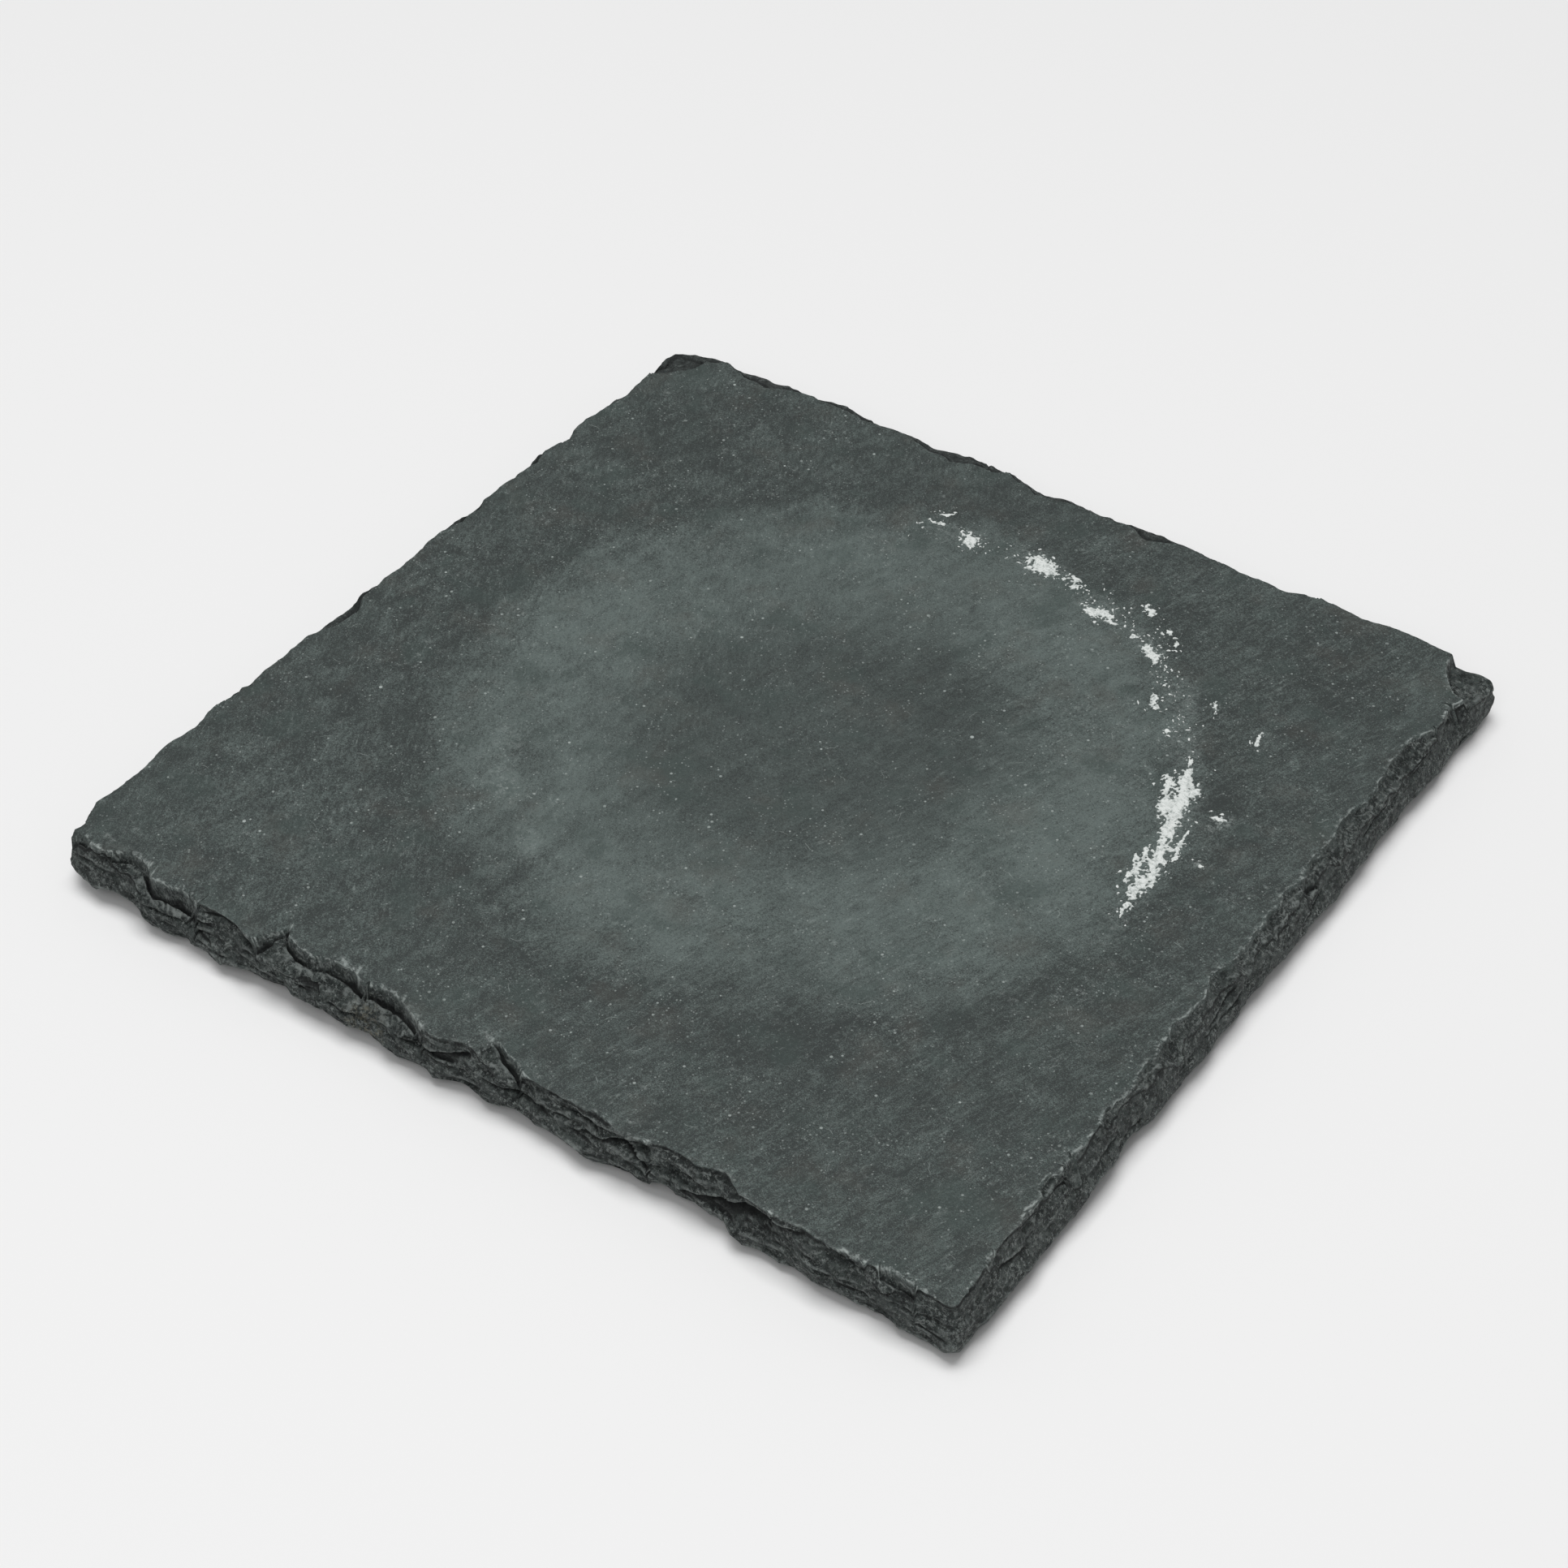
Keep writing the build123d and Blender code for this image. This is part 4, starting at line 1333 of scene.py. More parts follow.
    def sheet(self, x0: float, y0: float, x1: float, y1: float) -> bpy.types.Object:
        """The lime inside a box of the face, as an open sheet.

        Args:
            x0: The box's left edge, mm.
            y0: Its front edge, mm.
            x1: Its right edge, mm.
            y1: Its back edge, mm.

        Returns:
            The sheet.
        """
        across, along = round((x1 - x0) / self.cell), round((y1 - y0) / self.cell)
        x, y = np.meshgrid(np.linspace(x0, x1, across + 1), np.linspace(y0, y1, along + 1))
        rise = self.thickness(x, y)
        z = self.slab.top_height(x, y)[0] + rise
        sheet = add_grid("sheet", across, along, np.stack((x, y, z), -1).reshape(-1, 3))
        store(sheet, "rise", rise.ravel())
        bpy.ops.object.mode_set(mode="EDIT")
        shape = bmesh.from_edit_mesh(sheet.data)
        shape.verts.ensure_lookup_table()
        keep = rise.ravel() > -0.03
        spare = [vertex for vertex, kept in zip(shape.verts, keep) if not kept]
        bmesh.ops.delete(shape, geom=spare, context="VERTS")
        loose = [vertex for vertex in shape.verts if not vertex.link_faces]
        bmesh.ops.delete(shape, geom=loose, context="VERTS")
        self.part_flakes(shape)
        bmesh.update_edit_mesh(sheet.data)
        bpy.ops.object.mode_set(mode="OBJECT")
        return sheet

    @staticmethod
    def part_flakes(shape: bmesh.types.BMesh) -> None:
        """Parts flakes that touch at one corner only, so that each closes by itself.

        Args:
            shape: The sheet's mesh.
        """
        for vertex in list(shape.verts):
            rim = [edge for edge in vertex.link_edges if len(edge.link_faces) == 1]
            if len(rim) > 2:
                bmesh.utils.vert_separate(vertex, rim)


# --------------------------------------------------------------------------- the feet


@dataclass
class FoamFoot:
    """A round foam foot and the film that sticks it to the stone."""

    corner: str

    def disc(self, node: str, name: str, rim: float, barrel: float) -> bpy.types.Object:
        """A disc that fills a node's box.

        Args:
            node: The CAD node.
            name: The new piece's name.
            rim: Radius of its rounded rims, mm.
            barrel: How far its side bulges, mm.

        Returns:
            The disc.
        """
        low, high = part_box(node)
        middle = (low + high) / 2
        radius, thick = (high.x - low.x) / 2, high.z - low.z
        deselect()
        bpy.ops.mesh.primitive_cylinder_add(vertices=96, radius=1.0, depth=1.0, end_fill_type="NGON")
        piece = bpy.context.object
        piece.name = name
        for vertex in piece.data.vertices:
            vertex.co.x = middle.x + vertex.co.x * (radius - barrel * MM)
            vertex.co.y = middle.y + vertex.co.y * (radius - barrel * MM)
            vertex.co.z = middle.z + vertex.co.z * thick
        bevel = piece.modifiers.new("rim", "BEVEL")
        bevel.width = rim * MM
        bevel.segments = 3
        bevel.limit_method = "ANGLE"
        bpy.ops.object.modifier_apply(modifier=bevel.name)
        bpy.ops.object.shade_smooth_by_angle(angle=math.radians(40))
        return piece

    def build(self, foam: bpy.types.Material, glue: bpy.types.Material) -> list[bpy.types.Object]:
        """Makes the foot and its film, and puts them in place of the CAD ones.

        Args:
            foam: The foot's finish.
            glue: The film's finish.

        Returns:
            The two pieces.
        """
        pad = self.disc(f"foot_pad_{self.corner}", f"foam_foot_{self.corner}", 0.14, 0.0)
        film = self.disc(f"pad_adhesive_{self.corner}", f"adhesive_film_{self.corner}", 0.04, 0.0)
        for piece, node, finish, slot in (
            (pad, f"foot_pad_{self.corner}", foam, Slot.FOAM),
            (film, f"pad_adhesive_{self.corner}", glue, Slot.GLUE),
        ):
            piece.data.materials.append(finish)
            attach(piece, BODY)
            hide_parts(node)
            log.info("%s: %d faces", piece.name, len(piece.data.polygons))
        return [pad, film]


# --------------------------------------------------------------------------- finishes


class Sketch:
    """Short hands for laying out a material's nodes."""

    def __init__(self, name: str) -> None:
        """Starts a material with a shader and nothing else.

        Args:
            name: The material's name.
        """
        self.material = bpy.data.materials.new(name)
        self.material.use_nodes = True
        self.tree = self.material.node_tree
        self.shader = next(n for n in self.tree.nodes if n.type == "BSDF_PRINCIPLED")
        self.object_place = self.node("ShaderNodeTexCoord").outputs["Object"]
        self.mm = self.node("ShaderNodeVectorMath", operation="SCALE")
        self.tree.links.new(self.object_place, self.mm.inputs[0])
        self.mm.inputs["Scale"].default_value = 1.0 / MM
        self.place = self.mm.outputs[0]

    def node(self, kind: str, **settings: object) -> bpy.types.Node:
        """Adds a node.

        Args:
            kind: Its type.
            settings: Its properties, by name.

        Returns:
            The node.
        """
        made = self.tree.nodes.new(kind)
        for key, value in settings.items():
            setattr(made, key, value)
        return made

    def feed(self, socket: bpy.types.NodeSocket, value: object) -> None:
        """Links a socket, or sets it to a plain value.

        Args:
            socket: The socket to feed.
            value: Another socket, or a value.
        """
        if isinstance(value, bpy.types.NodeSocket):
            self.tree.links.new(value, socket)
        else:
            socket.default_value = value

    def sum(self, kind: str, *values: object, clamp: bool = False) -> bpy.types.NodeSocket:
        """One Math node.

        Args:
            kind: The operation.
            values: Its inputs, sockets or numbers.
            clamp: Whether its result is held between 0 and 1.

        Returns:
            Its output.
        """
        made = self.node("ShaderNodeMath", operation=kind, use_clamp=clamp)
        for socket, value in zip(made.inputs, values):
            self.feed(socket, value)
        return made.outputs[0]

    def span(
        self, value: object, low: float, high: float, start: float = 0.0, end: float = 1.0
    ) -> bpy.types.NodeSocket:
        """Eases a value from one range into another, and holds it at the ends.

        Args:
            value: The value.
            low: Where its range starts.
            high: Where its range ends.
            start: What the start becomes.
            end: What the end becomes.

        Returns:
            The eased value.
        """
        made = self.node("ShaderNodeMapRange", interpolation_type="SMOOTHSTEP")
        keys = ("Value", "From Min", "From Max", "To Min", "To Max")
        for key, number in zip(keys, (value, low, high, start, end)):
            self.feed(made.inputs[key], number)
        return made.outputs[0]

    def mix(self, share: object, first: object, second: object) -> bpy.types.NodeSocket:
        """Mixes two colours.

        Args:
            share: How much of the second, from 0 to 1.
            first: The first colour.
            second: The second colour.

        Returns:
            The mixed colour.
        """
        made = self.node("ShaderNodeMix", data_type="RGBA", blend_type="MIX", clamp_factor=True)
        self.feed(made.inputs[0], share)
        self.feed(made.inputs[6], first)
        self.feed(made.inputs[7], second)
        return made.outputs[2]

    def turned(self, angle: float, scale: Triple, shift: Triple = (0, 0, 0)) -> bpy.types.NodeSocket:
        """The place in mm, turned about Z and then divided, for a pattern with a direction.

        Args:
            angle: The turn, degrees.
            scale: What each axis is divided by.
            shift: Where the pattern starts, mm.

        Returns:
            The place.
        """
        made = self.node("ShaderNodeMapping", vector_type="TEXTURE")
        self.feed(made.inputs["Vector"], self.place)
        made.inputs["Rotation"].default_value = (0.0, 0.0, math.radians(angle))
        made.inputs["Scale"].default_value = scale
        made.inputs["Location"].default_value = shift
        return made.outputs[0]

    def moved(self, shift: Triple) -> bpy.types.NodeSocket:
        """The place in mm, moved, for a pattern that is not to follow another of its size."""
        return self.turned(0.0, (1, 1, 1), shift)

    def vector(self, kind: str, *values: object) -> bpy.types.Node:
        """One Vector Math node.

        Args:
            kind: The operation.
            values: Its inputs, sockets or triples.

        Returns:
            The node.
        """
        made = self.node("ShaderNodeVectorMath", operation=kind)
        for socket, value in zip(made.inputs, values):
            self.feed(socket, value)
        return made

    def wandered(self, size: float, detail: float, reach: float) -> bpy.types.NodeSocket:
        """The place in mm, pushed about on the face by cloudy noise.

        Args:
            size: Size of the noise's cells, mm.
            detail: How many finer layers the noise has.
            reach: How far it pushes at most, mm.

        Returns:
            The place.
        """
        cloud = self.node("ShaderNodeTexNoise", noise_dimensions="3D")
        self.feed(cloud.inputs["Vector"], self.place)
        cloud.inputs["Scale"].default_value = 1 / size
        cloud.inputs["Detail"].default_value = detail
        return self.vector("MULTIPLY_ADD", cloud.outputs["Color"], (reach, reach, 0.0), self.place).outputs[0]

    def cells(self, size: float, dimensions: str = "3D", **settings: float) -> bpy.types.Node:
        """Cells scattered at random.

        Args:
            size: Size of a cell, mm.
            dimensions: Whether the cells fill space (3D) or the face (2D).
            settings: Further inputs, by name.

        Returns:
            The node.
        """
        made = self.node("ShaderNodeTexVoronoi", voronoi_dimensions=dimensions, feature="F1")
        self.feed(made.inputs["Vector"], self.place)
        made.inputs["Scale"].default_value = 1.0 / size
        for key, value in settings.items():
            made.inputs[key].default_value = value
        return made

    def luck(self, cells: bpy.types.Node) -> list[bpy.types.NodeSocket]:
        """Three numbers from 0 to 1 that differ from cell to cell.

        Args:
            cells: The cells.

        Returns:
            The numbers.
        """
        made = self.node("ShaderNodeSeparateColor")
        self.feed(made.inputs[0], cells.outputs["Color"])
        return list(made.outputs)[:3]

    def apart(self, place: bpy.types.NodeSocket) -> tuple[bpy.types.NodeSocket, bpy.types.NodeSocket]:
        """The x and y of a place.

        Args:
            place: The place.

        Returns:
            Its x and its y.
        """
        made = self.node("ShaderNodeSeparateXYZ")
        self.feed(made.inputs[0], place)
        return made.outputs["X"], made.outputs["Y"]

    def noise(
        self, size: float, detail: float = 3.0, rough: float = 0.55, place: object = None, bend: float = 0.0
    ) -> bpy.types.NodeSocket:
        """Smooth noise from 0 to 1.

        Args:
            size: Size of its cells, mm.
            detail: How many finer layers it has.
            rough: How strong the finer layers are.
            place: Where it is looked up, if not at the plain place.
            bend: How far it is bent by itself.

        Returns:
            The noise.
        """
        made = self.node("ShaderNodeTexNoise", noise_dimensions="3D")
        self.feed(made.inputs["Vector"], place or self.place)
        made.inputs["Scale"].default_value = 1.0 / size
        made.inputs["Detail"].default_value = detail
        made.inputs["Roughness"].default_value = rough
        made.inputs["Distortion"].default_value = bend
        return made.outputs["Fac"]

    def blot(
        self, x: float, y: float, long: float, wide: float, turn: float = 0.0, place: object = None
    ) -> bpy.types.NodeSocket:
        """A soft oval on the face, 1 in its middle and 0 at its edge.

        Args:
            x: Its middle, mm.
            y: Its middle, mm.
            long: Half its length, mm.
            wide: Half its width, mm.
            turn: Its turn, degrees.
            place: Where it is looked up, if not at the plain place.

        Returns:
            The mask.
        """
        made = self.node("ShaderNodeMapping", vector_type="TEXTURE")
        self.feed(made.inputs["Vector"], place or self.place)
        made.inputs["Location"].default_value = (x, y, 6.0)
        made.inputs["Rotation"].default_value = (0.0, 0.0, math.radians(turn))
        made.inputs["Scale"].default_value = (long, wide, 40.0)
        ball = self.node("ShaderNodeTexGradient", gradient_type="SPHERICAL")
        self.feed(ball.inputs["Vector"], made.outputs[0])
        return ball.outputs["Fac"]

    def attribute(self, name: str) -> bpy.types.NodeSocket:
        """A number kept on the mesh."""
        made = self.node("ShaderNodeAttribute", attribute_name=name, attribute_type="GEOMETRY")
        return made.outputs["Fac"]

    def bump(
        self, height: object, strength: object, distance: float, under: object = None
    ) -> bpy.types.NodeSocket:
        """A bump from a height.

        Args:
            height: The height.
            strength: How strong the bump is, from 0 to 1.
            distance: How far a height of 1 stands out, mm.
            under: A bump that this one lies on.

        Returns:
            The bent normal.
        """
        made = self.node("ShaderNodeBump")
        self.feed(made.inputs["Height"], height)
        self.feed(made.inputs["Strength"], strength)
        made.inputs["Distance"].default_value = distance * MM
        if under is not None:
            self.feed(made.inputs["Normal"], under)
        return made.outputs[0]

    def finish(self, **sockets: object) -> bpy.types.Material:
        """Feeds the shader.

        Args:
            sockets: What its sockets get, by name, with _ for a space.

        Returns:
            The material.
        """
        for key, value in sockets.items():
            self.feed(self.shader.inputs[key.replace("_", " ")], value)
        return self.material


@dataclass(frozen=True)
class Blot:
    """A soft oval mark on the face: its middle, half sizes in mm, turn in degrees and strength."""

    x: float
    y: float
    long: float
    wide: float
    turn: float
    strength: float


# Where the face is a little darker (-) or paler (+) than round about
BLOTS = (
    Blot(-18.5, -15.5, 4.6, 2.6, -10.0, -0.55),
    Blot(-15.9, -22.0, 6.4, 1.1, 84.0, -0.5),
    Blot(-10.3, -27.0, 6.0, 1.2, 84.0, -0.5),
    Blot(-21.5, -12.5, 3.2, 1.1, 70.0, -0.35),
    Blot(-28.2, 15.5, 2.2, 1.5, 0.0, -0.55),
    Blot(-27.0, 3.8, 2.0, 1.3, 30.0, -0.3),
    Blot(-10.0, 25.0, 4.0, 2.6, 60.0, -0.35),
    Blot(18.0, -28.0, 14.0, 8.0, -25.0, -0.5),
    Blot(37.0, 39.0, 11.0, 9.0, -45.0, -0.3),
    Blot(-37.0, 37.0, 15.0, 8.0, 45.0, -0.25),
    Blot(8.0, 16.0, 17.0, 9.0, 15.0, -0.3),
    Blot(-34.0, -34.0, 12.0, 9.0, -45.0, 0.18),
    Blot(-19.2, -19.8, 4.4, 1.7, -42.0, 0.6),
    Blot(-12.4, -24.6, 2.4, 1.6, -50.0, 0.4),
    Blot(-27.0, -16.0, 9.0, 5.0, -50.0, 0.3),
    Blot(-27.0, 6.0, 11.0, 6.0, 70.0, 0.22),
    Blot(-6.0, -24.0, 12.0, 5.0, -12.0, 0.25),
    Blot(16.0, 26.0, 14.0, 7.0, -40.0, 0.2),
    Blot(28.0, 4.0, 5.0, 13.0, 8.0, 0.2),
    Blot(-7.5, -34.5, 5.5, 1.6, -4.0, 0.35),
    Blot(44.5, 43.0, 6.0, 5.0, 0.0, 0.25),
)


@dataclass(frozen=True)
class Scuff:
    """A rubbed or dusty place: its middle, half sizes in mm, turn in degrees and strength."""

    x: float
    y: float
    long: float
    wide: float
    turn: float
    strength: float


SCUFFS = (
    Scuff(-44.0, -46.4, 1.5, 0.6, -20.0, 0.5),
    Scuff(-42.8, -44.0, 1.1, 0.5, -30.0, 0.45),
    Scuff(-39.9, -46.6, 1.7, 0.5, -22.0, 0.6),
    Scuff(-15.6, -46.2, 2.2, 0.6, -4.0, 0.8),
    Scuff(-6.8, -47.6, 2.4, 0.7, -14.0, 0.5),
    Scuff(0.3, -46.0, 1.5, 0.9, -10.0, 0.75),
    Scuff(12.6, -48.5, 1.6, 0.5, -6.0, 0.6),
    Scuff(15.8, -46.9, 1.2, 0.5, 12.0, 0.6),
    Scuff(14.6, -43.0, 0.8, 0.5, 30.0, 0.45),
    Scuff(19.2, -48.0, 1.6, 0.5, -20.0, 0.6),
    Scuff(24.8, -48.9, 1.8, 0.4, -5.0, 0.45),
    Scuff(30.5, -48.3, 1.8, 0.4, 5.0, 0.45),
    Scuff(49.1, -36.2, 0.8, 1.5, 10.0, 0.8),
    Scuff(48.7, -38.4, 0.6, 1.3, 0.0, 0.5),
    Scuff(50.0, -45.0, 0.5, 1.5, 0.0, 0.45),
    Scuff(49.2, -48.9, 1.4, 1.0, 0.0, 0.7),
    Scuff(45.3, 46.7, 1.2, 0.36, -67.0, 1.0),
    Scuff(46.0, 45.1, 1.4, 0.4, -66.0, 1.0),
    Scuff(47.4, 43.5, 1.7, 0.5, -34.0, 1.0),
    Scuff(48.0, 44.7, 1.6, 1.1, -30.0, 0.65),
    Scuff(48.6, 46.7, 1.2, 1.3, 0.0, 0.55),
    Scuff(34.0, 14.0, 3.0, 7.0, 20.0, 0.3),
    Scuff(36.3, 4.0, 2.0, 5.4, 5.0, 0.3),
    Scuff(30.2, 21.4, 2.2, 5.2, 30.0, 0.34),
    Scuff(26.4, 27.4, 2.4, 5.2, 40.0, 0.32),
    Scuff(19.6, 32.6, 2.0, 4.6, 58.0, 0.32),
    Scuff(12.4, 34.8, 6.0, 2.4, -18.0, 0.32),
    Scuff(4.2, 37.4, 5.0, 3.0, -10.0, 0.36),
    Scuff(-5.6, 37.0, 6.0, 2.2, 8.0, 0.3),
    Scuff(38.2, 13.4, 1.3, 2.4, -20.0, 0.7),
    Scuff(39.6, 7.6, 1.1, 0.7, 0.0, 0.6),
    Scuff(37.2, -4.0, 1.6, 3.6, 12.0, 0.24),
    Scuff(36.0, 26.0, 1.2, 2.6, 10.0, 0.28),
    Scuff(-19.2, -19.8, 4.4, 2.0, -42.0, 0.34),
    Scuff(-22.6, -14.4, 5.4, 2.6, -62.0, 0.26),
    Scuff(-12.4, -24.8, 4.2, 1.8, -40.0, 0.26),
)


@dataclass(frozen=True)
class Speck:
    """A kind of crumb: the room for each in mm, its radius, how few show and how pale they are."""

    cell: float
    radius: float
    share: float
    strength: float


SPECKS = (
    Speck(0.30, 0.24, 0.40, 0.44),
    Speck(0.8, 0.14, 0.40, 0.68),
    Speck(2.2, 0.065, 0.42, 1.0),
)


@dataclass(frozen=True)
class Fibre:
    """A kind of lint: the room for each, half its length and its width in mm, and as for a crumb."""

    cell: float
    long: float
    wide: float
    share: float
    strength: float


FIBRES = (
    Fibre(0.8, 0.2, 0.03, 0.45, 0.3),
    Fibre(1.7, 0.34, 0.03, 0.48, 0.34),
    Fibre(4.3, 0.75, 0.034, 0.52, 0.5),
)


@dataclass(frozen=True)
class SlateFinish:
    """Fine-grained grey-green slate, stained in a ring by wet cups."""

    deep: Colour = (0.030, 0.037, 0.0355, 1.0)
    stone: Colour = (0.0475, 0.0595, 0.0562, 1.0)
    washed: Colour = (0.113, 0.141, 0.133, 1.0)
    # Pale dust, lint and wear, and painted highlight on lips and crests
    dust: Colour = (0.36, 0.40, 0.385, 1.0)
    brown: Colour = (0.066, 0.062, 0.054, 1.0)
    green: Colour = (0.043, 0.061, 0.056, 1.0)
    # Near-black painted shade for cracks, folds, recesses and the back and left edge bands
    gap: Colour = (0.008, 0.010, 0.010, 1.0)
    rock_deep: Colour = (0.024, 0.031, 0.030, 1.0)
    rock_pale: Colour = (0.092, 0.111, 0.105, 1.0)
    rock_pit: Colour = (0.012, 0.016, 0.015, 1.0)
    rock_dust: Colour = (0.31, 0.345, 0.33, 1.0)
    ochre: Colour = (0.27, 0.255, 0.19, 1.0)
    ring_middle: Triple = (5.1, 6.3, 6.2)

    def material(self) -> bpy.types.Material:
        """Lays out the nodes.

        Returns:
            The material.
        """
        sk = Sketch("slate_riven")
        broken, lip, crack = (sk.attribute(name) for name in ("broken", "lip", "crack"))
        flowing = self.flow(sk)
        grain = sk.noise(0.28, 3.0, 0.75)
        fleck = sk.noise(0.11, 2.0, 0.7)
        away = self.away(sk)
        colour = self.face(sk, away, flowing, grain, fleck)
        colour = sk.mix(broken, colour, self.rock(sk))
        colour = sk.mix(self.pale(sk, away, flowing, lip), colour, self.dust)
        # Painted shade: the crack attribute darkens cracks, folds, recesses and the back and left edge bands
        # towards near-black, ragged by noise
        frayed = sk.sum("MULTIPLY_ADD", sk.sum("SUBTRACT", sk.noise(0.45, 4.0, 0.75), 0.5), 0.9, crack)
        shade = sk.sum("MULTIPLY", sk.span(frayed, 0.25, 0.85), sk.span(crack, 0.02, 0.2, 0.0, 0.88))
        colour = sk.mix(shade, colour, self.gap)
        relief = sk.sum("ADD", grain, sk.sum("MULTIPLY", fleck, 0.5))
        fine = sk.bump(sk.sum("ADD", sk.sum("MULTIPLY", flowing, 0.3), relief), 0.8, 0.075)
        chips = sk.cells(1.1, Detail=2.0).outputs["Distance"]
        rough = sk.sum("MULTIPLY_ADD", chips, 0.7, sk.noise(0.7, 6.0, 0.82))
        cut = sk.bump(rough, sk.sum("MULTIPLY_ADD", broken, 0.96, 0.03), 0.95, fine)
        return sk.finish(Base_Color=colour, Roughness=0.66, Normal=cut, Specular_IOR_Level=0.32)

    def face(
        self, sk: Sketch, away: object, flowing: object, grain: object, fleck: object
    ) -> bpy.types.NodeSocket:
        """The colour of the riven face, with its ring, clouds and fine texture.

        Args:
            sk: The sketch.
            away: How far a place lies from the middle of the ring.
            flowing: The streaks.
            grain: The grain.
            fleck: The finest grain.

        Returns:
            The colour.
        """
        sweep = sk.noise(1.5, 4.0, 0.72, sk.turned(76.0, (3.4, 0.8, 1.0), (4, 17, 0)))
        cloud = sk.noise(3.4, 5.0, 0.7, bend=0.8)
        texture: object = 0.0
        for pattern, share in ((cloud, 2.2), (sweep, 1.6), (flowing, 2.1), (grain, 2.6), (fleck, 4.6)):
            texture = sk.sum("MULTIPLY_ADD", sk.sum("SUBTRACT", pattern, 0.5), share, texture)
        lively = sk.sum("ADD", sk.span(away, 12.0, 24.0, 0.75, 1.15), sk.span(away, 30.0, 42.0, 0.0, 0.25))
        tone = sk.sum("MULTIPLY_ADD", self.ring(sk, away), 1.2, self.blots(sk))
        tone = sk.sum("MULTIPLY_ADD", texture, lively, tone)
        colour = sk.mix(sk.sum("MULTIPLY", tone, 0.56, clamp=True), self.stone, self.washed)
        colour = sk.mix(sk.sum("MULTIPLY", tone, -1.9, clamp=True), colour, self.deep)
        colour = sk.mix(sk.span(sk.noise(6.5, 3.0, 0.6), 0.52, 0.72, 0.0, 0.28), colour, self.brown)
        greenish = sk.noise(5.5, 3.0, 0.6, sk.turned(25.0, (1, 1, 1), (31, 7, 0)))
        return sk.mix(sk.span(greenish, 0.52, 0.7, 0.0, 0.5), colour, self.green)

    def pale(self, sk: Sketch, away: object, flowing: object, lip: object) -> bpy.types.NodeSocket:
        """How much pale dust, lint and wear lies on a place, with painted highlight on lips and crests.

        Args:
            sk: The sketch.
            away: How far a place lies from the middle of the ring.
            flowing: The streaks.
            lip: How near a lip the place is.

        Returns:
            The share of dust, wear and painted highlight.
        """
        strewn = sk.span(sk.noise(7.5, 4.0, 0.7, sk.moved((19, 3, 0))), 0.38, 0.64, 0.22, 0.85)
        pale = sk.sum("MAXIMUM", self.specks(sk), sk.sum("MULTIPLY", self.fibres(sk), strewn))
        powder = sk.span(sk.noise(1.0, 6.0, 0.9), 0.545, 0.70, 0.0, 0.42)
        powder = sk.sum("MULTIPLY", powder, sk.span(sk.noise(6.0, 3.0, 0.6), 0.42, 0.62, 0.15, 1.0))
        pale = sk.sum("MAXIMUM", pale, sk.sum("MULTIPLY", powder, sk.span(away, 15.0, 27.0, 0.2, 1.0)))
        drift = sk.span(sk.noise(2.6, 4.0, 0.65, sk.moved((5, 9, 0))), 0.42, 0.7)
        chalky = sk.sum("MULTIPLY", sk.span(flowing, 0.56, 0.74, 0.0, 0.34), drift)
        pale = sk.sum("MAXIMUM", pale, chalky)
        # Pale on lips and crests: partly wear, partly painted highlight
        rubbed = sk.sum("ADD", sk.noise(0.7, 5.0, 0.8), sk.sum("MULTIPLY", lip, 0.3))
        wear_and_highlight = sk.sum("MULTIPLY", sk.span(rubbed, 0.58, 0.80, 0.0, 0.9), lip, clamp=True)
        return sk.sum("MAXIMUM", sk.sum("MAXIMUM", pale, wear_and_highlight), self.scuffs(sk))

    def away(self, sk: Sketch) -> bpy.types.NodeSocket:
        """How far a place lies from the middle of the ring, mm, with a cloudy wander."""
        off = sk.vector("SUBTRACT", sk.wandered(9.0, 4.0, 8.0), self.ring_middle)
        return sk.vector("LENGTH", off.outputs[0]).outputs["Value"]

    def ring(self, sk: Sketch, away: object) -> bpy.types.NodeSocket:
        """How washed out the face is by the ring that wet cups left.

        Args:
            sk: The sketch.
            away: How far a place lies from the ring's middle.

        Returns:
            The share, a little below 0 just outside the ring.
        """
        outer = sk.span(away, 29.5, 39.5, 1.0, 0.0)
        inner = sk.span(away, 13.0, 24.0, 0.18, 1.0)
        wash = sk.sum("MULTIPLY", outer, inner)
        patchy = sk.span(sk.noise(11.0, 3.0, 0.55), 0.25, 0.72, 0.68, 1.1)
        rim = sk.sum("MULTIPLY", sk.span(away, 33.0, 35.6), sk.span(away, 36.0, 38.0, 1.0, 0.0))
        halo = sk.sum("MULTIPLY", sk.span(away, 36.6, 38.4), sk.span(away, 38.6, 43.5, 1.0, 0.0))
        total = sk.sum("MULTIPLY_ADD", rim, 0.16, sk.sum("MULTIPLY", wash, patchy))
        return sk.sum("MULTIPLY_ADD", halo, -0.16, total)

    def blots(self, sk: Sketch) -> bpy.types.NodeSocket:
        """Soft dark and pale marks on the face, summed.

        Args:
            sk: The sketch.

        Returns:
            How much paler the marks make a place.
        """
        place = sk.wandered(2.4, 3.0, 2.0)
        total: object = -0.02
        for blot in BLOTS:
            mask = sk.blot(blot.x + 1.0, blot.y + 1.0, blot.long, blot.wide, blot.turn, place)
            total = sk.sum("MULTIPLY_ADD", sk.span(mask, 0.0, 0.62), blot.strength, total)
        return total

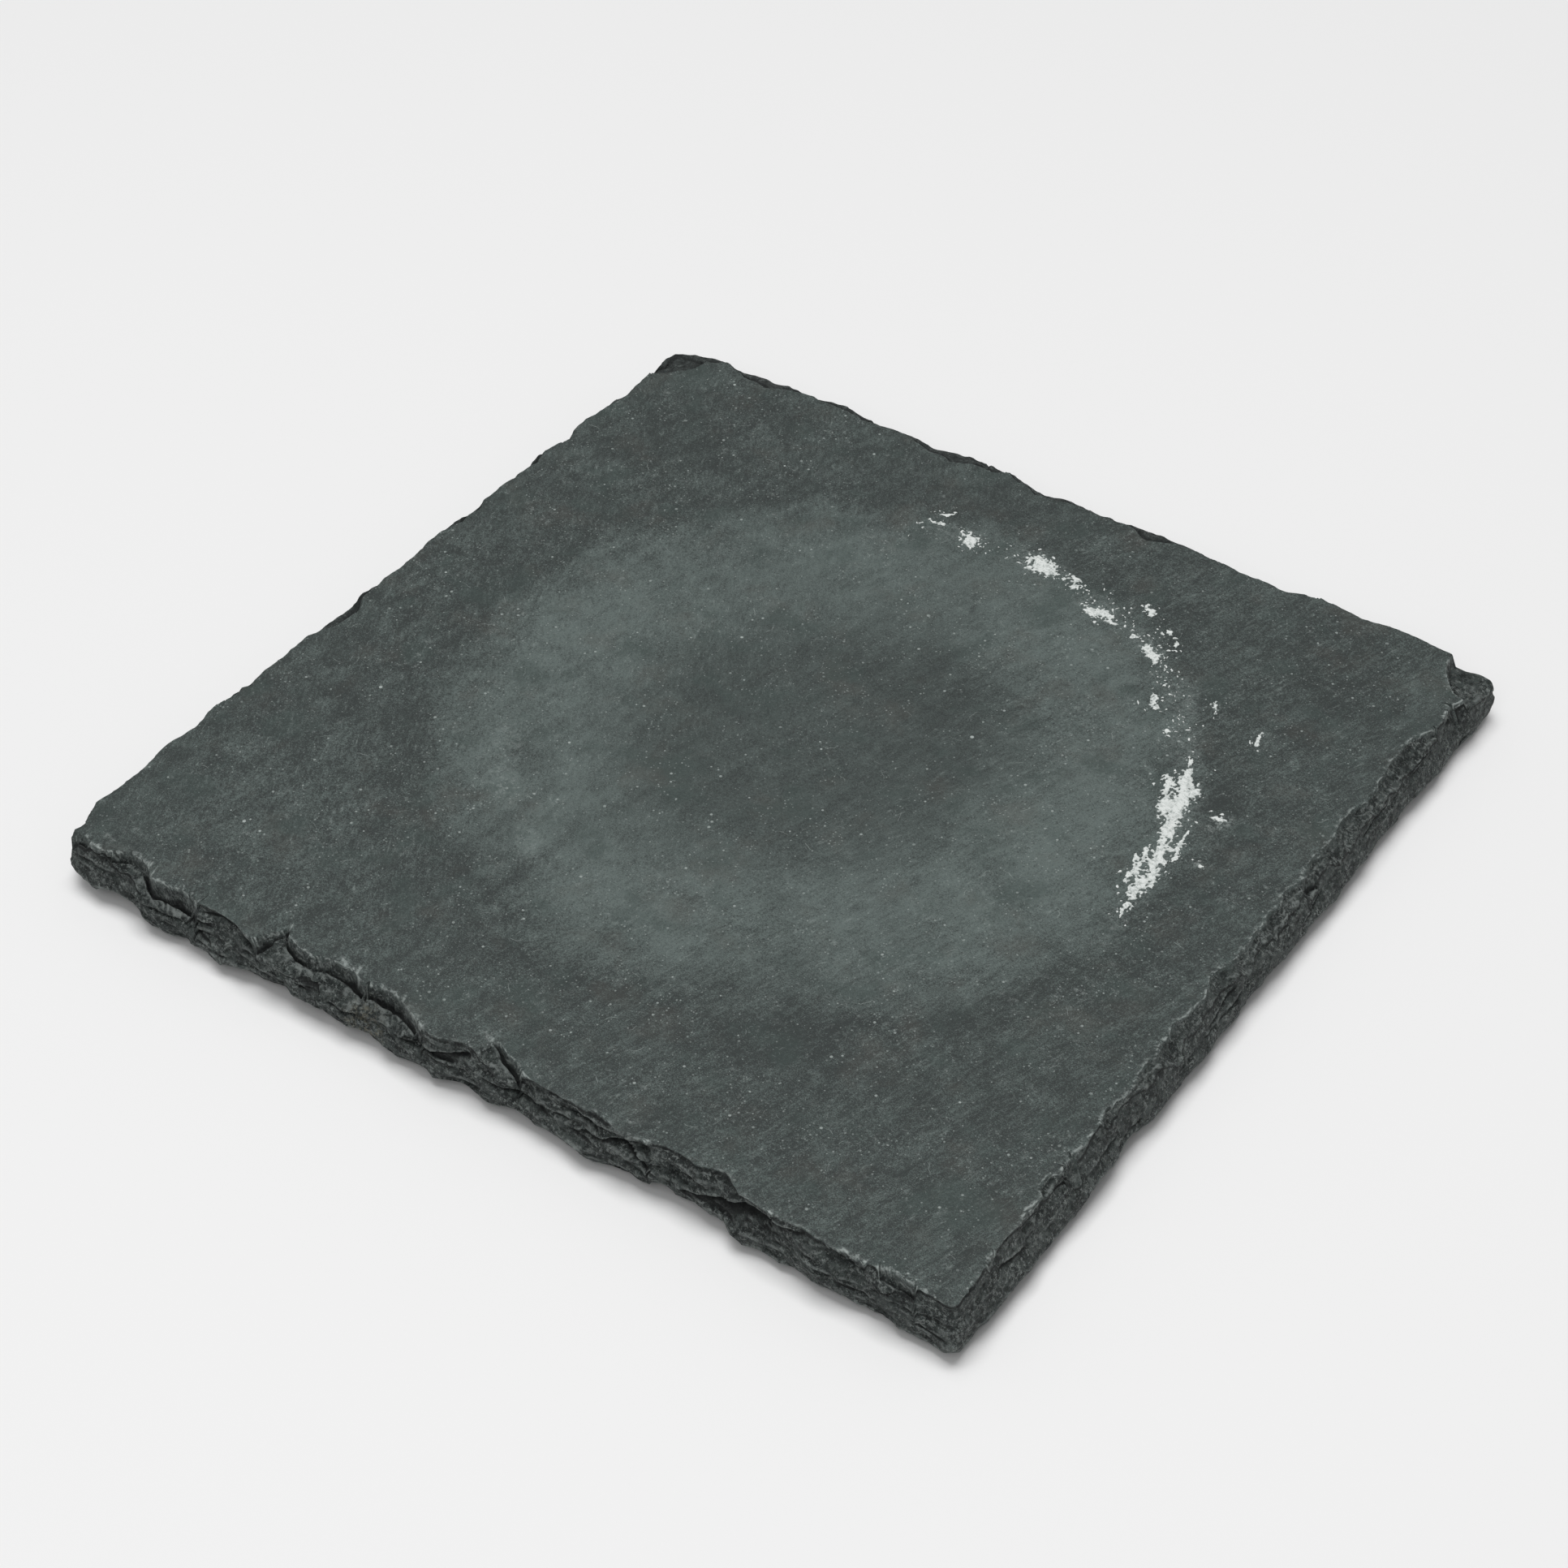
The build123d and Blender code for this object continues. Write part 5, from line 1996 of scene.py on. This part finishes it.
    def flow(self, sk: Sketch) -> bpy.types.NodeSocket:
        """Fine streaks along the way that the slate split, which turns across the face.

        Args:
            sk: The sketch.

        Returns:
            The streaks, from 0 to 1.
        """
        left = sk.noise(0.5, 4.0, 0.75, sk.turned(-62.0, (2.6, 0.7, 1.0)))
        right = sk.noise(0.5, 4.0, 0.75, sk.turned(72.0, (2.6, 0.7, 1.0), (11, 0, 0)))
        wander = sk.sum("MULTIPLY_ADD", sk.noise(9.0, 2.0), 26.0, sk.apart(sk.place)[0])
        share = sk.span(wander, -2.0, 26.0)
        on_left = sk.sum("MULTIPLY", left, sk.sum("SUBTRACT", 1.0, share))
        return sk.sum("ADD", on_left, sk.sum("MULTIPLY", right, share))

    def rock(self, sk: Sketch) -> bpy.types.NodeSocket:
        """The colour of freshly broken stone, dusty in its pits.

        Args:
            sk: The sketch.

        Returns:
            The colour.
        """
        blotch = sk.noise(1.3, 5.0, 0.75)
        base = sk.mix(sk.span(blotch, 0.40, 0.60), self.rock_deep, self.rock_pale)
        pits = sk.span(sk.noise(0.45, 5.0, 0.85, sk.moved((3, 8, 2))), 0.41, 0.48, 0.8, 0.0)
        base = sk.mix(pits, base, self.rock_pit)
        dusty = sk.span(sk.noise(1.9, 4.0, 0.7, sk.moved((13, 2, 5))), 0.40, 0.62, 0.35, 1.0)
        dust = sk.sum("MULTIPLY", sk.span(sk.noise(0.42, 5.0, 0.85), 0.515, 0.575), dusty)
        base = sk.mix(dust, base, self.rock_dust)
        iron = sk.span(sk.blot(-11.8, -49.5, 3.4, 3.0), 0.1, 0.8)
        ochre = sk.sum("MULTIPLY", iron, sk.span(sk.noise(0.5, 4.0, 0.8), 0.47, 0.66))
        return sk.mix(ochre, base, self.ochre)

    def specks(self, sk: Sketch) -> bpy.types.NodeSocket:
        """Pale crumbs of dust, more of them in some places.

        Args:
            sk: The sketch.

        Returns:
            How pale they make a place.
        """
        crowd = sk.span(sk.noise(6.0, 4.0, 0.65), 0.40, 0.66)
        total: object = 0.0
        for kind in SPECKS:
            dots = sk.cells(kind.cell)
            luck = sk.luck(dots)
            size = sk.sum("MULTIPLY", luck[1], kind.radius * 1.6)
            dot = sk.sum("SUBTRACT", size, dots.outputs["Distance"])
            dot = sk.span(dot, 0.0, kind.radius * 0.5)
            bright = sk.sum("MULTIPLY_ADD", crowd, 0.5, luck[0])
            seen = sk.span(bright, kind.share + 0.25, kind.share + 0.75, 0.0, kind.strength)
            total = sk.sum("MAXIMUM", total, sk.sum("MULTIPLY", dot, seen))
        return total

    def fibres(self, sk: Sketch) -> bpy.types.NodeSocket:
        """Short curled fibres of lint that lie on the face.

        Args:
            sk: The sketch.

        Returns:
            How pale they make a place.
        """
        total: object = 0.0
        for kind in FIBRES:
            cells = sk.cells(kind.cell, "2D", Randomness=0.8)
            luck = sk.luck(cells)
            off = sk.vector("SUBTRACT", sk.place, cells.outputs["Position"])
            turn = sk.node("ShaderNodeVectorRotate", rotation_type="Z_AXIS")
            sk.feed(turn.inputs["Vector"], off.outputs[0])
            sk.feed(turn.inputs["Angle"], sk.sum("MULTIPLY", luck[0], 6.283))
            x, y = sk.apart(turn.outputs[0])
            curl = sk.sum("MULTIPLY", sk.sum("SUBTRACT", luck[1], 0.5), 1.1 / kind.long)
            wave = sk.sum("MULTIPLY_ADD", sk.sum("SUBTRACT", sk.noise(0.5, 1.0), 0.5), 0.42 * kind.long, y)
            bow = sk.sum("SUBTRACT", wave, sk.sum("MULTIPLY", sk.sum("MULTIPLY", x, x), curl))
            reach = sk.sum("MULTIPLY", luck[2], kind.long)
            near = sk.span(sk.sum("ABSOLUTE", bow), kind.wide * 0.3, kind.wide * 1.5, 1.0, 0.0)
            ends = sk.span(sk.sum("SUBTRACT", reach, sk.sum("ABSOLUTE", x)), 0.0, kind.long * 0.35)
            seen = sk.span(luck[2], kind.share, kind.share + 0.35, 0.0, kind.strength)
            total = sk.sum("MAXIMUM", total, sk.sum("MULTIPLY", sk.sum("MULTIPLY", near, ends), seen))
        return total

    def scuffs(self, sk: Sketch) -> bpy.types.NodeSocket:
        """Places where the face is rubbed pale, most of them by the lip.

        Args:
            sk: The sketch.

        Returns:
            How pale they make a place.
        """
        grit = sk.span(sk.noise(0.5, 4.0, 0.8), 0.44, 0.72)
        total: object = 0.0
        for rub in SCUFFS:
            oval = sk.blot(rub.x, rub.y, rub.long, rub.wide, rub.turn)
            mask = sk.span(oval, 0.0, 0.7, 0.0, rub.strength)
            total = sk.sum("MAXIMUM", total, sk.sum("MULTIPLY", mask, grit))
        return total


@dataclass(frozen=True)
class LimeFinish:
    """Chalky lime, greyer where it is thin."""

    thin: Colour = (0.30, 0.335, 0.32, 1.0)
    thick: Colour = (0.72, 0.75, 0.73, 1.0)

    def material(self) -> bpy.types.Material:
        """Lays out the nodes.

        Returns:
            The material.
        """
        sk = Sketch("lime_chalk")
        rise = sk.attribute("rise")
        body = sk.sum("MULTIPLY_ADD", sk.noise(0.3, 4.0, 0.7), 0.07, rise)
        colour = sk.mix(sk.span(body, 0.02, 0.105), self.thin, self.thick)
        crumb = sk.noise(0.14, 3.0, 0.7)
        colour = sk.mix(sk.span(crumb, 0.5, 0.75, 0.0, 0.35), colour, self.thin)
        lumps = sk.noise(0.36, 3.0, 0.8)
        colour = sk.mix(sk.span(lumps, 0.44, 0.68, 0.0, 0.8), colour, self.thin)
        chalk = sk.bump(crumb, 0.7, 0.06)
        return sk.finish(Base_Color=colour, Roughness=0.85, Normal=chalk, Specular_IOR_Level=0.3)


@dataclass(frozen=True)
class FoamFinish:
    """Closed-cell black foam."""

    wall: Colour = (0.022, 0.022, 0.024, 1.0)
    cell: Colour = (0.040, 0.040, 0.043, 1.0)

    def material(self) -> bpy.types.Material:
        """Lays out the nodes.

        Returns:
            The material.
        """
        sk = Sketch("foam_black")
        cells = sk.cells(0.16).outputs["Distance"]
        tone = sk.mix(cells, self.wall, self.cell)
        return sk.finish(Base_Color=tone, Roughness=0.82, Normal=sk.bump(cells, 0.5, 0.05))


@dataclass(frozen=True)
class GlueFinish:
    """Yellowed acrylic film."""

    yellow: Colour = (0.74, 0.71, 0.62, 1.0)
    clear: Colour = (0.80, 0.78, 0.72, 1.0)

    def material(self) -> bpy.types.Material:
        """Lays out the nodes.

        Returns:
            The material.
        """
        sk = Sketch("adhesive_film")
        tone = sk.mix(sk.noise(1.4, 3.0), self.yellow, self.clear)
        return sk.finish(Base_Color=tone, Roughness=0.38)


@dataclass(frozen=True)
class TableFinish:
    """Plain pale table top."""

    colour: Colour = (0.84, 0.84, 0.84, 1.0)
    paler: Colour = (0.85, 0.85, 0.85, 1.0)

    def material(self) -> bpy.types.Material:
        """Lays out the nodes.

        Returns:
            The material.
        """
        sk = Sketch("pale_table")
        tone = sk.mix(sk.noise(240.0, 2.0), self.colour, self.paler)
        return sk.finish(Base_Color=tone, Roughness=0.9)


# --------------------------------------------------------------------------- the studio


@dataclass(frozen=True)
class Softbox:
    """A square area light that looks at the slab: its place and size in m, and its power in W."""

    name: str
    place: Triple
    size: float
    power: float

    def build(self) -> None:
        """Hangs the light."""
        light = bpy.data.lights.new(self.name, "AREA")
        light.energy = self.power
        light.size = self.size
        lamp = bpy.data.objects.new(self.name, light)
        bpy.context.scene.collection.objects.link(lamp)
        lamp.location = self.place
        lamp.rotation_euler = (-Vector(self.place)).to_track_quat("-Z", "Y").to_euler()


@dataclass
class Studio:
    """Table, lights and camera: angles in degrees, lengths in m, the lens in mm."""

    azimuth: float = 34.878
    elevation: float = 41.508
    distance: float = 0.3083
    aim: Triple = (-0.00179, 0.00092, 0.0)
    lens: float = 73.55
    softboxes: tuple[Softbox, ...] = (
        Softbox("overhead", (-0.065, 0.0, 1.2), 0.76, 10.7),
        Softbox("front", (0.30, -0.85, 1.05), 0.8, 4.2),
    )

    def build(self) -> None:
        """Makes the table, the lights and the camera."""
        self.camera()
        deselect()
        bpy.ops.mesh.primitive_plane_add(size=6.0)
        table = bpy.context.object
        table.name = "table"
        table.data.materials.append(TableFinish().material())
        world = bpy.data.worlds.new("studio")
        world.use_nodes = True
        sky = world.node_tree.nodes["Background"]
        sky.inputs["Color"].default_value = (1.0, 1.0, 1.0, 1.0)
        sky.inputs["Strength"].default_value = 0.22
        bpy.context.scene.world = world
        for softbox in self.softboxes:
            softbox.build()
        bpy.context.scene.view_settings.view_transform = "Standard"

    def camera(self) -> None:
        """A camera that looks down at the slab's front right corner."""
        turn, tip = math.radians(self.azimuth), math.radians(self.elevation)
        back = Vector((math.sin(turn) * math.cos(tip), -math.cos(turn) * math.cos(tip), math.sin(tip)))
        data = bpy.data.cameras.new("camera")
        data.lens = self.lens
        data.sensor_width = 36.0
        data.clip_start = 0.01
        made = bpy.data.objects.new("camera", data)
        made.location = Vector(self.aim) + back * self.distance
        made.rotation_euler = back.to_track_quat("Z", "Y").to_euler()
        bpy.context.scene.collection.objects.link(made)
        bpy.context.scene.camera = made


def corners(bounds: Sequence[Sequence[float]]) -> list[list[float]]:
    """A box as plain lists of numbers."""
    return [[float(value) for value in corner] for corner in bounds]


def main() -> None:
    """Builds the slab piece by piece and reports each."""
    logging.basicConfig(level=logging.INFO, format="%(name)s: %(message)s")
    Studio().build()
    slab = SlateSlab(*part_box("slate_slab"))
    stone = slab.build()
    stone.data.materials.append(SlateFinish().material())
    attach(stone, BODY)
    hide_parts("slate_slab")
    log.info("%s: %d vertices, %d faces", stone.name, len(stone.data.vertices), len(stone.data.polygons))
    crust = LimeCrust(slab).build()
    crust.data.materials.append(LimeFinish().material())
    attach(crust, BODY)
    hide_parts("mineral_crust")
    log.info("%s: %d faces", crust.name, len(crust.data.polygons))
    foam, glue = FoamFinish().material(), GlueFinish().material()
    for corner in ("front_left", "front_right", "back_left", "back_right"):
        FoamFoot(corner).build(foam, glue)


if __name__ == "__main__":
    main()
